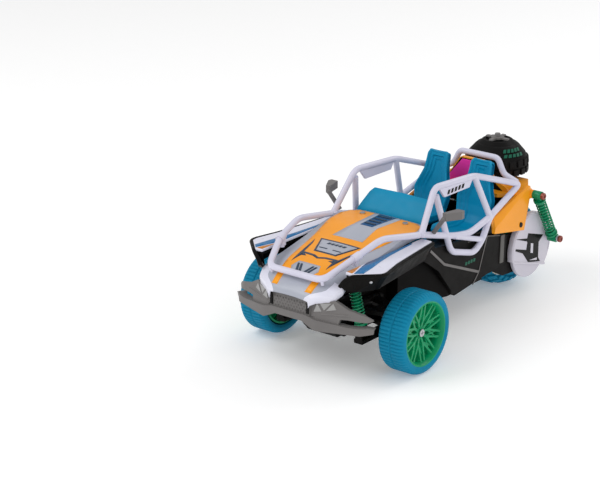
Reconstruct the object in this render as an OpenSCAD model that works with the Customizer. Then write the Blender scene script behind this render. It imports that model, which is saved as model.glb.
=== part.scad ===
// Remote control roadster with two front wheels and one driven rear wheel.
// The car stands on its tyres, with its nose towards -Y and its left side towards +X.
// Its origin is on the ground, half way along its length and on its middle plane.

/* [Overall] */
// Distance between the front and rear axles
wheelbase = 190; // [175:1:230]
// Distance between the middles of the two front tyres
track = 126.5; // [122:0.5:152]
// How far the front bumper reaches ahead of the front axle
bumper_reach = 64; // [60:1:72]

/* [Wheels] */
// Outside diameter of a front tyre
front_wheel_d = 60; // [54:1:64]
// Width of a front tyre
front_tyre_w = 22.5; // [18:0.5:26]
// Diameter of the front rim's outer lip
front_rim_d = 48.6; // [44:0.2:50]
// Outside diameter of the rear tyre
rear_wheel_d = 72; // [64:1:74]
// Width of the rear tyre
rear_tyre_w = 54; // [44:1:54]
// Diameter of the rear rim's outer lip
rear_rim_d = 47; // [42:0.5:50]
// Steering angle each way
steer_max = 20; // [10:1:20]

/* [Front suspension] */
// Distance of an arm's inner pivot from the middle plane
arm_inner_x = 17; // [17:0.5:19]
// How far inside the tyre's inner face the kingpin stands
kingpin_inset = 2; // [1.5:0.5:3]
// How far the arm's outer pivot lies inside the kingpin
carrier_w = 6; // [5.5:0.5:7]
// Height of the lower arm's pivots
lower_pivot_z = 24; // [23:0.5:25]
// Height between the lower and the upper arm
arm_gap = 16; // [15:0.5:17]
// Diameter of the steel hinge pins
hinge_pin_d = 2; // [1.6:0.1:2.4]
// Distance of a shock's plane ahead of the front axle
front_shock_y = 24; // [23:0.5:26]

/* [Rear suspension] */
// Distance of the swing arm's pivot ahead of the rear axle
swing_pivot_reach = 48; // [46:1:50]
// Height of the swing arm's pivot
swing_pivot_z = 50; // [48:0.5:52]
// Radius of the round white gear cover
gear_cover_r = 28; // [24:1:30]

/* [Shocks] */
// Outside diameter of a shock's spring
spring_d = 9; // [8:0.2:10]
// Diameter of the spring's wire
spring_wire_d = 1.3; // [1:0.1:1.5]
// Number of coils in a spring
spring_coils = 8; // [6:1:10]

/* [Body] */
// Outside half width of the chassis tub at the cockpit
tub_half_w = 37; // [35:0.5:38]
// Height of the tub's underside
tub_floor_z = 26; // [25:0.5:28]
// Height of the tub's rim
tub_rim_z = 58; // [57:0.5:60]
// Wall of the moulded body parts
wall = 2; // [1.5:0.1:2.5]
// Diameter of the roll cage's tubes
cage_tube_d = 4.8; // [4:0.1:5.4]
// Half width of the bull bar at the nose
bull_bar_half_w = 24; // [20:0.5:27]
// Half width of the rear roll hoop's top bar
hoop_half_w = 17.5; // [14:0.5:19]
// Distance of each seat's middle from the middle plane
seat_x = 20; // [19:0.5:21]
// Diameter of the spare wheel on the rear deck
spare_d = 51; // [44:1:53]

/* [Clearances] */
// Gap between parts that are screwed or clipped together
seat_gap = 0.2; // [0.1:0.05:0.3]
// Radial gap between a turning part and its pin
running_gap = 0.05; // [0.02:0.01:0.1]
// Gap between parts that move past each other
moving_gap = 0.5; // [0.4:0.1:0.8]

/* [Hidden] */
$fn = 48;

// The rearmost point is the back of the rear tyre, so this centres the car on its length.
front_axle_y = -(wheelbase + rear_wheel_d / 2 - bumper_reach) / 2;
front_r = front_wheel_d / 2;
rear_r = rear_wheel_d / 2;

tyre_inner_x = track / 2 - front_tyre_w / 2;
tyre_outer_x = track / 2 + front_tyre_w / 2;
kingpin_x = tyre_inner_x - kingpin_inset;
arm_outer_x = kingpin_x - carrier_w;
upper_pivot_z = lower_pivot_z + arm_gap;
pin_r = hinge_pin_d / 2;
pin_bore_r = pin_r + running_gap;
cage_r = cage_tube_d / 2;

// ---- Helpers -------------------------------------------------------------------------

// Everything below is drawn with the front axle at y = 0, and this moves it into the frame.
module from_front_axle() { translate([0, front_axle_y, 0]) children(); }

// Draws its children on the left, or mirrored on the right.
module on_side(side) {
    if (side > 0) children();
    else mirror([1, 0, 0]) children();
}

module both_sides() {
    children();
    mirror([1, 0, 0]) children();
}

// A round bar between two points.
module bar(from, to, r) {
    d = to - from;
    length = norm(d);
    translate(from)
        rotate([0, acos(d[2] / length), atan2(d[1], d[0])])
            cylinder(h = length, r = r);
}

module rod_x(y, z, x0, x1, r) { translate([x0, y, z]) rotate([0, 90, 0]) cylinder(h = x1 - x0, r = r); }
module rod_y(x, z, y0, y1, r) { translate([x, y0, z]) rotate([-90, 0, 0]) cylinder(h = y1 - y0, r = r); }
module rod_z(x, y, z0, z1, r) { translate([x, y, z0]) cylinder(h = z1 - z0, r = r); }
module block(low, high) { translate(low) cube(high - low); }

// Extrudes an outline given as [y, z] points between two x values.
module side_plate(x0, x1, points) {
    translate([x0, 0, 0]) rotate([90, 0, 90]) linear_extrude(height = x1 - x0) polygon(points);
}

// Extrudes an outline given as [x, z] points between two y values.
module front_plate(y0, y1, points) {
    translate([0, y1, 0]) rotate([90, 0, 0]) linear_extrude(height = y1 - y0) polygon(points);
}

// Extrudes an outline given as [x, y] points between two heights.
module flat_plate(z0, z1, points) { translate([0, 0, z0]) linear_extrude(height = z1 - z0) polygon(points); }

// Closes a left-hand outline with its mirror image, for parts that are symmetric in x.
function both(points) = concat(points, [for (i = [len(points) - 1:-1:0]) [-points[i][0], points[i][1]]]);

// A tube run through a list of points, with a slightly larger ball at each inner corner.
weld = 0.15;
module tube_run(points) {
    for (i = [0:len(points) - 2]) bar(points[i], points[i + 1], cage_r);
    for (i = [1:len(points) - 2]) translate(points[i]) sphere(r = cage_r + weld);
}
module tube_end(point) { translate(point) sphere(r = cage_r + weld); }

// ---- Places that several parts share ---------------------------------------------------

// Half width of the narrow chassis box between the front wheels.
box_half_w = 13.5;
box_floor_z = 20;
box_rim_z = 48;
box_front_y = -40;
box_back_y = 45;

// The tub's cockpit part.
tub_front_y = 34;
tub_wide_y = 80;
tub_rear_y = wheelbase - 64;

// Lengths of the hinge lugs along y, from the middle of the arm outwards.
lug_inner_y = 9.5;
lug_outer_y = 18.5;
lug_end_y = 22;
lug_reach = 3;

rack_y = 14;
rack_z = 30;
rack_thick = 3;
rack_w = 5;
rack_pin_r = 1.2;
rack_travel = rack_y * steer_max * PI / 180;

servo_y = 25;
servo_top_z = 37;
horn_length = servo_y - rack_y;
horn_pin_r = 1;

hood_screw = [19.5, 48.5];
hood_deck_z = 87.3;
screw_r = 1.1;
screw_head_r = 2.1;
screw_head_h = 1.2;

shock_pin_r = 1.4;
shock_eye_r = 3.4;
front_shock_top = [26.5, -front_shock_y, 67];
front_shock_foot = [arm_inner_x + 18.5, -front_shock_y, lower_pivot_z + 6.5];
front_eye_w = 5;

rear_shock_x = 47;
rear_eye_w = 7;
rear_shock_top = [rear_shock_x, wheelbase - 3.5, 80.4];
rear_shock_foot = [rear_shock_x, wheelbase + 22, 39];

swing_y = wheelbase - swing_pivot_reach;
swing_pin_r = 1.5;
swing_arm_gap = 1;
arm_plate_x = rear_tyre_w / 2 + swing_arm_gap;
arm_plate_w = 3;
gear_x = arm_plate_x + arm_plate_w + 0.5;
gear_w = 2.8;
lid_x = gear_x + gear_w + 0.4;
lid_w = 1.5;
cover_x = lid_x + lid_w + seat_gap;
cover_out_x = 41;

// Gear train from the motor to the rear axle, with a tooth module of 1 mm.
pinion_teeth = 10;
idler_teeth = 30;
axle_teeth = 32;
idler_y = wheelbase - (idler_teeth + axle_teeth) / 2;
motor_y = idler_y - (pinion_teeth + idler_teeth) / 2;
gear_z = rear_r;
motor_r = 10;
axle_r = 2;

// Cage corners on the left side.
bull_bar_corner = [bull_bar_half_w, -55, 74.7];
cage_lug = [34, -30, 87];
cage_bend = [37.5, -5, 94.3];
hoop_base = [40, 39.7, 86];
hoop_front_top = [36, 61, 115.5];
hoop_peak = [36, wheelbase - 77.5, 112];
hoop_rear = [38, wheelbase - 16.5, 91];
sill_front = [42, 78, 75.3];
sill_rear = [42, wheelbase - 90, 71.5];
door_mid = [41.5, wheelbase - 62.5, 77];
loop_front = [43.5, 73, 64.5];
loop_rear = [43.5, wheelbase - 86, 55.3];
loop_post = [43.2, wheelbase - 74.5, 62.5];

// ---- Chassis -------------------------------------------------------------------------

function tub_plan(inset) = both([
    [24 - inset, tub_front_y + inset],
    [tub_half_w - inset, tub_wide_y],
    [tub_half_w - inset, tub_rear_y - inset]
]);

module hinge_lug(y0, y1, z) {
    block([box_half_w - 0.5, y0, z - lug_reach], [arm_inner_x, y1, z + lug_reach]);
    rod_y(arm_inner_x, z, y0, y1, lug_reach);
}

// The front of the box slopes up from its floor to just under the bumper's tongue.
box_slope_y = -24;
box_slope_z = 38;

module front_box() {
    difference() {
        side_plate(-box_half_w, box_half_w, [
            [box_front_y, box_rim_z], [box_front_y, box_slope_z], [box_slope_y, box_floor_z],
            [box_back_y, box_floor_z], [box_back_y, box_rim_z]
        ]);
        side_plate(wall - box_half_w, box_half_w - wall, [
            [box_front_y + wall, box_rim_z + 1], [box_front_y + wall, box_slope_z + 1],
            [box_slope_y + 1, box_floor_z + wall], [box_back_y - wall, box_floor_z + wall],
            [box_back_y - wall, box_rim_z + 1]
        ]);
    }
}

module shock_tower() {
    tower_y = -front_shock_y - perch_r - 0.4;
    eye_y = -front_shock_y - front_eye_w / 2;
    front_plate(tower_y - 3, tower_y, both([
        [10, box_rim_z - 6], [box_half_w, box_rim_z - 6], [box_half_w, box_rim_z + 2],
        [31, 62], [31, 71], [24, 74.8]
    ]));
    both_sides() {
        rod_y(front_shock_top[0], front_shock_top[2], tower_y - 1, eye_y + front_eye_w + 0.8, shock_pin_r);
        rod_y(front_shock_top[0], front_shock_top[2], tower_y - 1, eye_y - seat_gap, 2.2);
    }
}

module swing_ear() {
    ear_x0 = arm_plate_x + arm_plate_w + moving_gap;
    difference() {
        union() {
            block([ear_x0, tub_rear_y - 4, swing_pivot_z - 4], [tub_half_w, swing_y, swing_pivot_z + 4]);
            rod_x(swing_y, swing_pivot_z, ear_x0, tub_half_w, 4);
        }
        rod_x(swing_y, swing_pivot_z, ear_x0 - 1, tub_half_w + 1, swing_pin_r + 0.02);
    }
}

module chassis_tub() {
    from_front_axle() color("#1c1c1e") {
        difference() {
            union() {
                front_box();
                difference() {
                    flat_plate(tub_floor_z, tub_rim_z, tub_plan(0));
                    flat_plate(tub_floor_z + wall, tub_rim_z + 1, tub_plan(wall));
                }
                shock_tower();
                both_sides() {
                    for (z = [lower_pivot_z, upper_pivot_z]) {
                        hinge_lug(-lug_end_y, -lug_outer_y, z);
                        hinge_lug(-lug_inner_y, lug_inner_y, z);
                        hinge_lug(lug_outer_y, lug_end_y, z);
                    }
                    rod_z(hood_screw[0], hood_screw[1], tub_floor_z, hood_deck_z - wall - seat_gap, 3.2);
                }
                // Stiffener along the top of the rear wall
                block([-20, tub_rear_y - wall - 3, tub_rim_z - 8], [20, tub_rear_y - wall, tub_rim_z]);
            }
            // Hinge pin bores
            both_sides() for (z = [lower_pivot_z, upper_pivot_z])
                rod_y(arm_inner_x, z, -lug_end_y - 1, lug_end_y + 1, pin_r + 0.02);
            // Windows for the steering rack
            block([-box_half_w - 1, rack_y - rack_w / 2 - moving_gap, rack_z - moving_gap],
                  [box_half_w + 1, rack_y + rack_w / 2 + moving_gap, rack_z + rack_thick + moving_gap]);
            // Servo bay, where the front box runs into the cockpit part
            block([wall - box_half_w, tub_front_y - 8, box_floor_z + wall],
                  [box_half_w - wall, box_back_y - wall, box_rim_z + 1]);
            // Hood screw holes
            both_sides() rod_z(hood_screw[0], hood_screw[1], hood_deck_z - 16, hood_deck_z, screw_r + 0.02);
            // Battery compartment opening
            block([-battery_door_half_w, battery_door_y0, tub_floor_z - 1],
                  [battery_door_half_w, battery_door_y1, tub_floor_z + wall + 1]);
            // Slot for the power switch
            block([switch_x - 2, switch_y - 2.2, tub_floor_z - 1],
                  [switch_x + 2, switch_y + 2.2 + switch_travel, tub_floor_z + wall + 1]);
            // Front bumper screws
            both_sides() rod_y(8, 43, box_front_y - 1, box_front_y + wall + 1, screw_r + 0.02);
        }
        both_sides() swing_ear();
    }
}

battery_door_half_w = 21;
battery_door_y0 = 58;
battery_door_y1 = wheelbase - 80;
switch_x = 26;
switch_y = 66;
switch_travel = 4;

module battery_door() {
    from_front_axle() color("#232326")
        difference() {
            union() {
                block([seat_gap - battery_door_half_w, battery_door_y0 + seat_gap, tub_floor_z],
                      [battery_door_half_w - seat_gap, battery_door_y1 - seat_gap, tub_floor_z + wall]);
                // Tongue that hooks over the tub's floor, and the step that carries it
                block([3 - battery_door_half_w, battery_door_y0 - 3, tub_floor_z + wall + seat_gap],
                      [battery_door_half_w - 3, battery_door_y0 + 6, tub_floor_z + wall + 1.4]);
                block([3 - battery_door_half_w, battery_door_y0 + 3, tub_floor_z + wall - 0.5],
                      [battery_door_half_w - 3, battery_door_y0 + 6, tub_floor_z + wall + 1]);
            }
            // Finger notch
            rod_z(0, battery_door_y1 - 6, tub_floor_z - 1, tub_floor_z + 1, 5);
        }
}

module battery_pack() {
    cell_r = 7;
    cell_z = tub_floor_z + wall + 1.6 + cell_r;
    from_front_axle() color("#2f6fb3")
        for (x = [-14, 0, 14])
            rod_y(x, cell_z, battery_door_y0 + 1, battery_door_y0 + 51, cell_r + 0.05);
}

module circuit_board() {
    board_z = 48;
    from_front_axle() color("#1f6b3a") {
        block([-26, 58, board_z], [26, 96, board_z + 1.6]);
        block([-8, 64, board_z + 1.5], [6, 78, board_z + 4]);
        block([10, 62, board_z + 1.5], [18, 74, board_z + 7]);
        rod_z(-15, 84, board_z + 1, board_z + 8, 3);
        // Pillars that stand on the tub's floor
        for (x = [-24, 24]) for (y = [79, 93]) rod_z(x, y, tub_floor_z + wall, board_z + 0.5, 1.5);
    }
}

module power_switch() {
    from_front_axle() color("#2aa36b") {
        block([switch_x - 1.6, switch_y - 1.8, tub_floor_z - 0.8],
              [switch_x + 1.6, switch_y + 1.8, tub_floor_z + wall + 0.5]);
        block([switch_x - 3.2, switch_y - 3.4, tub_floor_z + wall + 0.1],
              [switch_x + 3.2, switch_y + 3.4, tub_floor_z + wall + 1.2]);
    }
}

// ---- Steering ------------------------------------------------------------------------

module steering_servo() {
    from_front_axle() color("#3b3b40") {
        block([-6, servo_y - 5.6, box_floor_z + wall + 0.1], [6, servo_y + 17, servo_top_z - 2]);
        block([-10, servo_y, servo_top_z - 8], [10, servo_y + 14, servo_top_z - 6]);
        rod_z(0, servo_y, servo_top_z - 3, servo_top_z, 4);
        rod_z(0, servo_y, servo_top_z - 1, servo_top_z + 2.6, 1.5);
    }
}

module servo_horn() {
    horn_z = servo_top_z + 0.2;
    from_front_axle() color("#e8e8e8")
        difference() {
            union() {
                rod_z(0, servo_y, horn_z, horn_z + 2.4, 3.4);
                block([-1.8, servo_y - horn_length, horn_z], [1.8, servo_y, horn_z + 2]);
                rod_z(0, servo_y - horn_length, horn_z, horn_z + 2, 1.8);
                rod_z(0, servo_y - horn_length, rack_z + 0.5, horn_z + 1, horn_pin_r);
            }
            rod_z(0, servo_y, horn_z - 1, horn_z + 4, 1.5 + running_gap);
        }
}

module steering_rack() {
    pad_w = 7;
    slot_w = 2 * rack_pin_r + 0.9;
    horn_slot_w = 2 * horn_pin_r + 0.8;
    end_x = kingpin_x;
    from_front_axle() color("#2a2a2d")
        difference() {
            union() {
                block([-end_x, rack_y - rack_w / 2, rack_z], [end_x, rack_y + rack_w / 2, rack_z + rack_thick]);
                block([-4, rack_y - rack_w / 2, rack_z], [4, rack_y + 4.4, rack_z + rack_thick]);
                both_sides() block([end_x - pad_w / 2, rack_y - 4, rack_z],
                                   [end_x + pad_w / 2, rack_y + 3.5, rack_z + rack_thick]);
            }
            both_sides() block([end_x - slot_w / 2, rack_y - 2.4, rack_z - 1],
                               [end_x + slot_w / 2, rack_y + 1.9, rack_z + rack_thick + 1]);
            block([-horn_slot_w / 2, rack_y - 1.5, rack_z - 1],
                  [horn_slot_w / 2, rack_y + 2.6, rack_z + rack_thick + 1]);
        }
}

// ---- Front suspension ------------------------------------------------------------------

// One arm, hinged on its steel pin inside and forked around the hub carrier outside.
// The fork's own pin runs through the carrier.
module suspension_arm(z, thick, inner_y) {
    fork_y = 7.5;
    ear_y = 5;
    ear_r = 2.2;
    arm_r = 2.6;
    difference() {
        union() {
            both_legs() {
                rod_y(arm_inner_x, z, lug_inner_y + 0.3, lug_outer_y - 0.3, arm_r);
                flat_plate(z - thick / 2, z + thick / 2, [
                    [arm_inner_x, lug_outer_y - 0.3], [arm_inner_x, inner_y], [arm_inner_x + 4, inner_y],
                    [arm_outer_x - 6, ear_y], [arm_outer_x, ear_y], [arm_outer_x, fork_y]
                ]);
                rod_y(arm_outer_x, z, ear_y, fork_y, ear_r);
            }
            block([arm_outer_x - 13, -ear_y - 1.5, z - thick / 2], [arm_outer_x - 8, ear_y + 1.5, z + thick / 2]);
            rod_y(arm_outer_x, z, -fork_y, fork_y, pin_r + 0.2);
        }
        rod_y(arm_inner_x, z, -lug_end_y, lug_end_y, pin_bore_r);
    }
}
module both_legs() {
    children();
    mirror([0, 1, 0]) children();
}

module lower_arm() {
    foot = front_shock_foot;
    eye = front_eye_w / 2 + 0.4;
    suspension_arm(lower_pivot_z, 4, lug_inner_y + 0.3);
    // Outrigger that carries the foot of the shock between two ears
    block([foot[0] - 4, foot[1] - eye - 1.6, lower_pivot_z - 2],
          [foot[0] + 3.4, -6.5, lower_pivot_z + 1]);
    for (y = [foot[1] - eye - 1.6, foot[1] + eye]) {
        block([foot[0] - 3, y, lower_pivot_z], [foot[0] + 3, y + 1.6, foot[2]]);
        rod_y(foot[0], foot[2], y, y + 1.6, 3);
    }
    rod_y(foot[0], foot[2], foot[1] - eye - 1, foot[1] + eye + 1, shock_pin_r);
}

module upper_arm() { suspension_arm(upper_pivot_z, 3, lug_inner_y + 0.3); }

module hub_carrier() {
    plate_y = 4.5;
    low_z = lower_pivot_z;
    high_z = upper_pivot_z;
    tab = 2.6;
    difference() {
        union() {
            rod_y(arm_outer_x, low_z, -plate_y, plate_y, 3);
            rod_y(arm_outer_x, high_z, -plate_y, plate_y, 3);
            block([arm_outer_x - 1.2, -plate_y, low_z], [arm_outer_x + 1.6, plate_y, high_z]);
            for (z = [low_z - 3, high_z + 3 - tab]) {
                block([arm_outer_x, -plate_y, z], [kingpin_x, plate_y, z + tab]);
                rod_z(kingpin_x, 0, z, z + tab, plate_y - 1);
            }
        }
        for (z = [low_z, high_z]) rod_y(arm_outer_x, z, -plate_y - 1, plate_y + 1, pin_r + 0.2 + running_gap);
        rod_z(kingpin_x, 0, low_z - 4, high_z + 4, 1.2 + running_gap);
    }
}

module knuckle() {
    low_z = lower_pivot_z - 3 + 2.6 + 0.3;
    high_z = upper_pivot_z + 3 - 2.6 - 0.3;
    arm_z = low_z;
    difference() {
        union() {
            rod_z(kingpin_x, 0, low_z, high_z, 2.5);
            rod_z(kingpin_x, 0, low_z - 2.4, high_z + 2.4, 1.2);
            rod_x(0, front_r, kingpin_x, kingpin_x + 6.5, 4);
            // Steering arm with a tall pin that stays in the rack while the wheel rises and falls
            block([kingpin_x - 0.8, 0, arm_z], [kingpin_x + 2, rack_y, arm_z + 1.6]);
            rod_z(kingpin_x, rack_y, arm_z, arm_z + 1.6, 2);
            rod_z(kingpin_x, rack_y, arm_z, rack_z + rack_thick + 5, rack_pin_r);
        }
        rod_x(0, front_r, kingpin_x - 2.5, kingpin_x + 7, 1.5 + 0.02);
    }
}

hub_face_x = tyre_outer_x - 6;

module wheel_screw() {
    rod_x(0, front_r, kingpin_x - 2, hub_face_x + 0.8, 1.5);
    difference() {
        rod_x(0, front_r, hub_face_x + 0.2, hub_face_x + 1.8, 2.8);
        // Cross recess
        block([hub_face_x + 1.2, -1.8, front_r - 0.3], [hub_face_x + 3, 1.8, front_r + 0.3]);
        block([hub_face_x + 1.2, -0.3, front_r - 1.8], [hub_face_x + 3, 0.3, front_r + 1.8]);
    }
}

// A crossed-spoke wheel face: each pair of spokes makes a V, and neighbouring pairs cross.
module spokes(pairs, inner_r, outer_r, lean, x0, x1, bar_w) {
    for (i = [0:pairs - 1]) for (s = [-1, 1]) {
        a = i * 360 / pairs;
        from = [inner_r * cos(a), inner_r * sin(a)];
        to = [outer_r * cos(a + s * lean), outer_r * sin(a + s * lean)];
        d = to - from;
        rotate([0, 90, 0]) translate([0, 0, x0]) translate([from[0], from[1], 0])
            rotate([0, 0, atan2(d[1], d[0])])
                translate([0, -bar_w / 2, 0]) cube([norm(d), bar_w, x1 - x0]);
    }
}

module front_rim() {
    barrel_r = front_rim_d / 2 - 1.8;
    translate([0, 0, front_r]) difference() {
        union() {
            difference() {
                union() {
                    rod_x(0, 0, tyre_inner_x + 0.6, tyre_outer_x - 1.2, barrel_r);
                    rod_x(0, 0, tyre_outer_x - 2.4, tyre_outer_x - 0.8, front_rim_d / 2 - 0.1);
                }
                rod_x(0, 0, tyre_inner_x - 1, tyre_outer_x + 1, barrel_r - 1.6);
            }
            spokes(10, 4, barrel_r - 0.8, 24, hub_face_x - 2.4, hub_face_x, 1.5);
            rod_x(0, 0, kingpin_x + 7, hub_face_x, 4.6);
        }
        rod_x(0, 0, kingpin_x, hub_face_x + 2, 1.5 + running_gap);
    }
}

// A tyre with rounded shoulders and shallow grooves round its tread.
module tyre(r, inner_r, lip_r, half_w, shoulder, grooves) {
    difference() {
        rotate([0, 90, 0]) rotate_extrude() polygon(concat(
            [[inner_r, -half_w + 1.2], [lip_r, -half_w + 0.4]],
            [for (a = [0:15:90]) [r - shoulder + shoulder * sin(a), -half_w + shoulder - shoulder * cos(a)]],
            [for (a = [90:-15:0]) [r - shoulder + shoulder * sin(a), half_w - shoulder + shoulder * cos(a)]],
            [[lip_r, half_w - 0.4], [inner_r, half_w - 1.2]]
        ));
        for (x = grooves) rotate([0, 90, 0]) translate([0, 0, x - 0.6]) difference() {
            cylinder(r = r + 1, h = 1.2);
            translate([0, 0, -1]) cylinder(r = r - 1, h = 4);
        }
    }
}

module front_tyre() {
    translate([track / 2, 0, front_r])
        difference() {
            tyre(front_r, front_rim_d / 2 - 1.75, front_rim_d / 2, front_tyre_w / 2, 3, [-5.5, 0, 5.5]);
            // Seat for the rim's outer lip
            rod_x(0, 0, front_tyre_w / 2 - 2.5, front_tyre_w / 2 + 1, front_rim_d / 2);
        }
}

module hub_carrier_left() { from_front_axle() color("#1c1c1e") hub_carrier(); }
module hub_carrier_right() { from_front_axle() color("#1c1c1e") on_side(-1) hub_carrier(); }
module knuckle_left() { from_front_axle() color("#232326") knuckle(); }
module knuckle_right() { from_front_axle() color("#232326") on_side(-1) knuckle(); }
module wheel_screw_left() { from_front_axle() color("#b9b9bd") wheel_screw(); }
module wheel_screw_right() { from_front_axle() color("#b9b9bd") on_side(-1) wheel_screw(); }
module front_rim_left() { from_front_axle() color("#14965a") front_rim(); }
module front_rim_right() { from_front_axle() color("#14965a") on_side(-1) front_rim(); }
module front_tyre_left() { from_front_axle() color("#1284b0") front_tyre(); }
module front_tyre_right() { from_front_axle() color("#1284b0") on_side(-1) front_tyre(); }
module lower_arm_left() { from_front_axle() color("#1c1c1e") lower_arm(); }
module lower_arm_right() { from_front_axle() color("#1c1c1e") on_side(-1) lower_arm(); }
module upper_arm_left() { from_front_axle() color("#1c1c1e") upper_arm(); }
module upper_arm_right() { from_front_axle() color("#1c1c1e") on_side(-1) upper_arm(); }

// ---- Shocks --------------------------------------------------------------------------

// Turns a part drawn downwards from its eye at the origin, with the eye's axis along Y,
// so that it points from one place to another in a plane across the car.
module hang_across(from, to) {
    translate(from) rotate([0, atan2(from[0] - to[0], from[2] - to[2]), 0]) children();
}
// The same for a shock whose eye's axis lies along X, in a plane along the car.
module hang_along(from, to) {
    translate(from) rotate([atan2(to[1] - from[1], from[2] - to[2]), 0, 0]) rotate([0, 0, 90]) children();
}

perch_r = spring_d / 2 + 0.4;
spring_seat_z = 6;
barrel_share = 0.55;

// Barrel with its eye at the origin and the spring's upper perch below it
module shock_body(length, eye_w) {
    barrel_end = -length * barrel_share;
    difference() {
        union() {
            rod_y(0, 0, -eye_w / 2, eye_w / 2, shock_eye_r);
            rod_z(0, 0, -spring_seat_z, -1, 2.6);
            rod_z(0, 0, -spring_seat_z, -spring_seat_z + 1.6, perch_r);
            rod_z(0, 0, barrel_end, -spring_seat_z + 1, 2.5);
        }
        rod_y(0, 0, -eye_w, eye_w, shock_pin_r + running_gap);
        rod_z(0, 0, barrel_end - 1, -spring_seat_z - 1, 1.2 + running_gap);
    }
}

// Rod that slides in the barrel, with the lower perch and the lower eye
module shock_rod(length, eye_w) {
    difference() {
        union() {
            rod_y(0, -length, -eye_w / 2, eye_w / 2, shock_eye_r);
            rod_z(0, 0, -length + 1, -length + spring_seat_z, 2.4);
            rod_z(0, 0, -length + spring_seat_z - 1.6, -length + spring_seat_z, perch_r);
            rod_z(0, 0, -length + spring_seat_z - 1, -spring_seat_z - 6, 1.2);
        }
        rod_y(0, -length, -eye_w, eye_w, shock_pin_r + 0.3);
    }
}

// Coil spring swept along a helix between the two perches
ring_sides = 6;
steps_per_coil = 12;
module coil_spring(length) {
    top = -spring_seat_z - spring_wire_d / 2 - 0.05;
    bottom = -length + spring_seat_z + spring_wire_d / 2 + 0.05;
    coil_r = (spring_d - spring_wire_d) / 2;
    rings = spring_coils * steps_per_coil;
    wire = spring_wire_d / 2;
    points = [for (k = [0:rings]) for (j = [0:ring_sides - 1])
        let (turn = k * 360 / steps_per_coil,
             a = j * 360 / ring_sides,
             r = coil_r + wire * cos(a))
        [r * cos(turn), r * sin(turn), top + (bottom - top) * k / rings + wire * sin(a)]];
    sides = [for (k = [0:rings - 1]) for (j = [0:ring_sides - 1])
        let (n = (j + 1) % ring_sides, base = k * ring_sides, next = base + ring_sides)
        [base + j, next + j, next + n, base + n]];
    first = [for (j = [0:ring_sides - 1]) j];
    last = [for (j = [ring_sides - 1:-1:0]) rings * ring_sides + j];
    polyhedron(points, concat(sides, [first, last]), convexity = 10);
}

front_shock_length = norm(front_shock_foot - front_shock_top);
rear_shock_length = norm(rear_shock_foot - rear_shock_top);

module in_front_shock(side) {
    from_front_axle() on_side(side) hang_across(front_shock_top, front_shock_foot) children();
}
module in_rear_shocks() {
    from_front_axle() both_sides() hang_along(rear_shock_top, rear_shock_foot) children();
}

module front_shock_body_left() { color("#1b8a55") in_front_shock(1) shock_body(front_shock_length, front_eye_w); }
module front_shock_body_right() { color("#1b8a55") in_front_shock(-1) shock_body(front_shock_length, front_eye_w); }
module front_shock_rod_left() { color("#20a064") in_front_shock(1) shock_rod(front_shock_length, front_eye_w); }
module front_shock_rod_right() { color("#20a064") in_front_shock(-1) shock_rod(front_shock_length, front_eye_w); }
module front_spring_left() { color("#24b070") in_front_shock(1) coil_spring(front_shock_length); }
module front_spring_right() { color("#24b070") in_front_shock(-1) coil_spring(front_shock_length); }
module rear_shock_bodies() { color("#1b8a55") in_rear_shocks() shock_body(rear_shock_length, rear_eye_w); }
module rear_shock_rods() { color("#20a064") in_rear_shocks() shock_rod(rear_shock_length, rear_eye_w); }
module rear_springs() { color("#24b070") in_rear_shocks() coil_spring(rear_shock_length); }

// ---- Steel pins and screws -------------------------------------------------------------

module hinge_pins() {
    from_front_axle() color("#c4c4c8") {
        both_sides() for (z = [lower_pivot_z, upper_pivot_z])
            rod_y(arm_inner_x, z, -lug_end_y, lug_end_y, pin_r);
        rod_x(swing_y, swing_pivot_z, -tub_half_w, tub_half_w, swing_pin_r);
    }
}

module body_screws() {
    from_front_axle() color("#8a8a90") both_sides() {
        // Hood screws
        rod_z(hood_screw[0], hood_screw[1], hood_deck_z - 15, hood_deck_z + 0.5, screw_r);
        rod_z(hood_screw[0], hood_screw[1], hood_deck_z + 0.05, hood_deck_z + screw_head_h, screw_head_r);
        // Bumper screws, driven from inside the chassis box
        rod_y(8, 43, box_front_y - 5, box_front_y + wall + 0.5, screw_r);
        rod_y(8, 43, box_front_y + wall + 0.05, box_front_y + wall + screw_head_h, screw_head_r);
    }
}

// ---- Rear drive ------------------------------------------------------------------------

module swing_arm() {
    from_front_axle() color("#1c1c1e")
        difference() {
            union() {
                // Cross tube on the pivot pin
                rod_x(swing_y, swing_pivot_z, -arm_plate_x - arm_plate_w, arm_plate_x + arm_plate_w, 3.8);
                for (x0 = [arm_plate_x, -arm_plate_x - arm_plate_w])
                    side_plate(x0, x0 + arm_plate_w, [
                        [swing_y - 4, swing_pivot_z - 1], [swing_y + 2, swing_pivot_z + 3.6],
                        [wheelbase + 6, gear_z + 8], [wheelbase + 8, gear_z - 7],
                        [motor_y, gear_z - motor_r - 1], [motor_y - 9, gear_z - 5]
                    ]);
                rod_x(wheelbase, gear_z, arm_plate_x, arm_plate_x + arm_plate_w, 9);
                rod_x(wheelbase, gear_z, -arm_plate_x - arm_plate_w, -arm_plate_x, 9);
                // Post that the idler gear turns on
                rod_x(idler_y, gear_z, arm_plate_x + arm_plate_w - 0.5, gear_x + gear_w + 0.2, 1.5);
                // Spacer that fills the right side, where there are no gears
                rod_x(wheelbase, gear_z, -cover_x + seat_gap, -arm_plate_x - arm_plate_w + 0.5, 12);
            }
            rod_x(swing_y, swing_pivot_z, -60, 60, swing_pin_r + running_gap);
            rod_x(wheelbase, gear_z, -60, 60, axle_r + running_gap);
            // Hole for the motor shaft
            rod_x(motor_y, gear_z, arm_plate_x - 1, arm_plate_x + arm_plate_w + 1, 1.6);
        }
}

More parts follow.
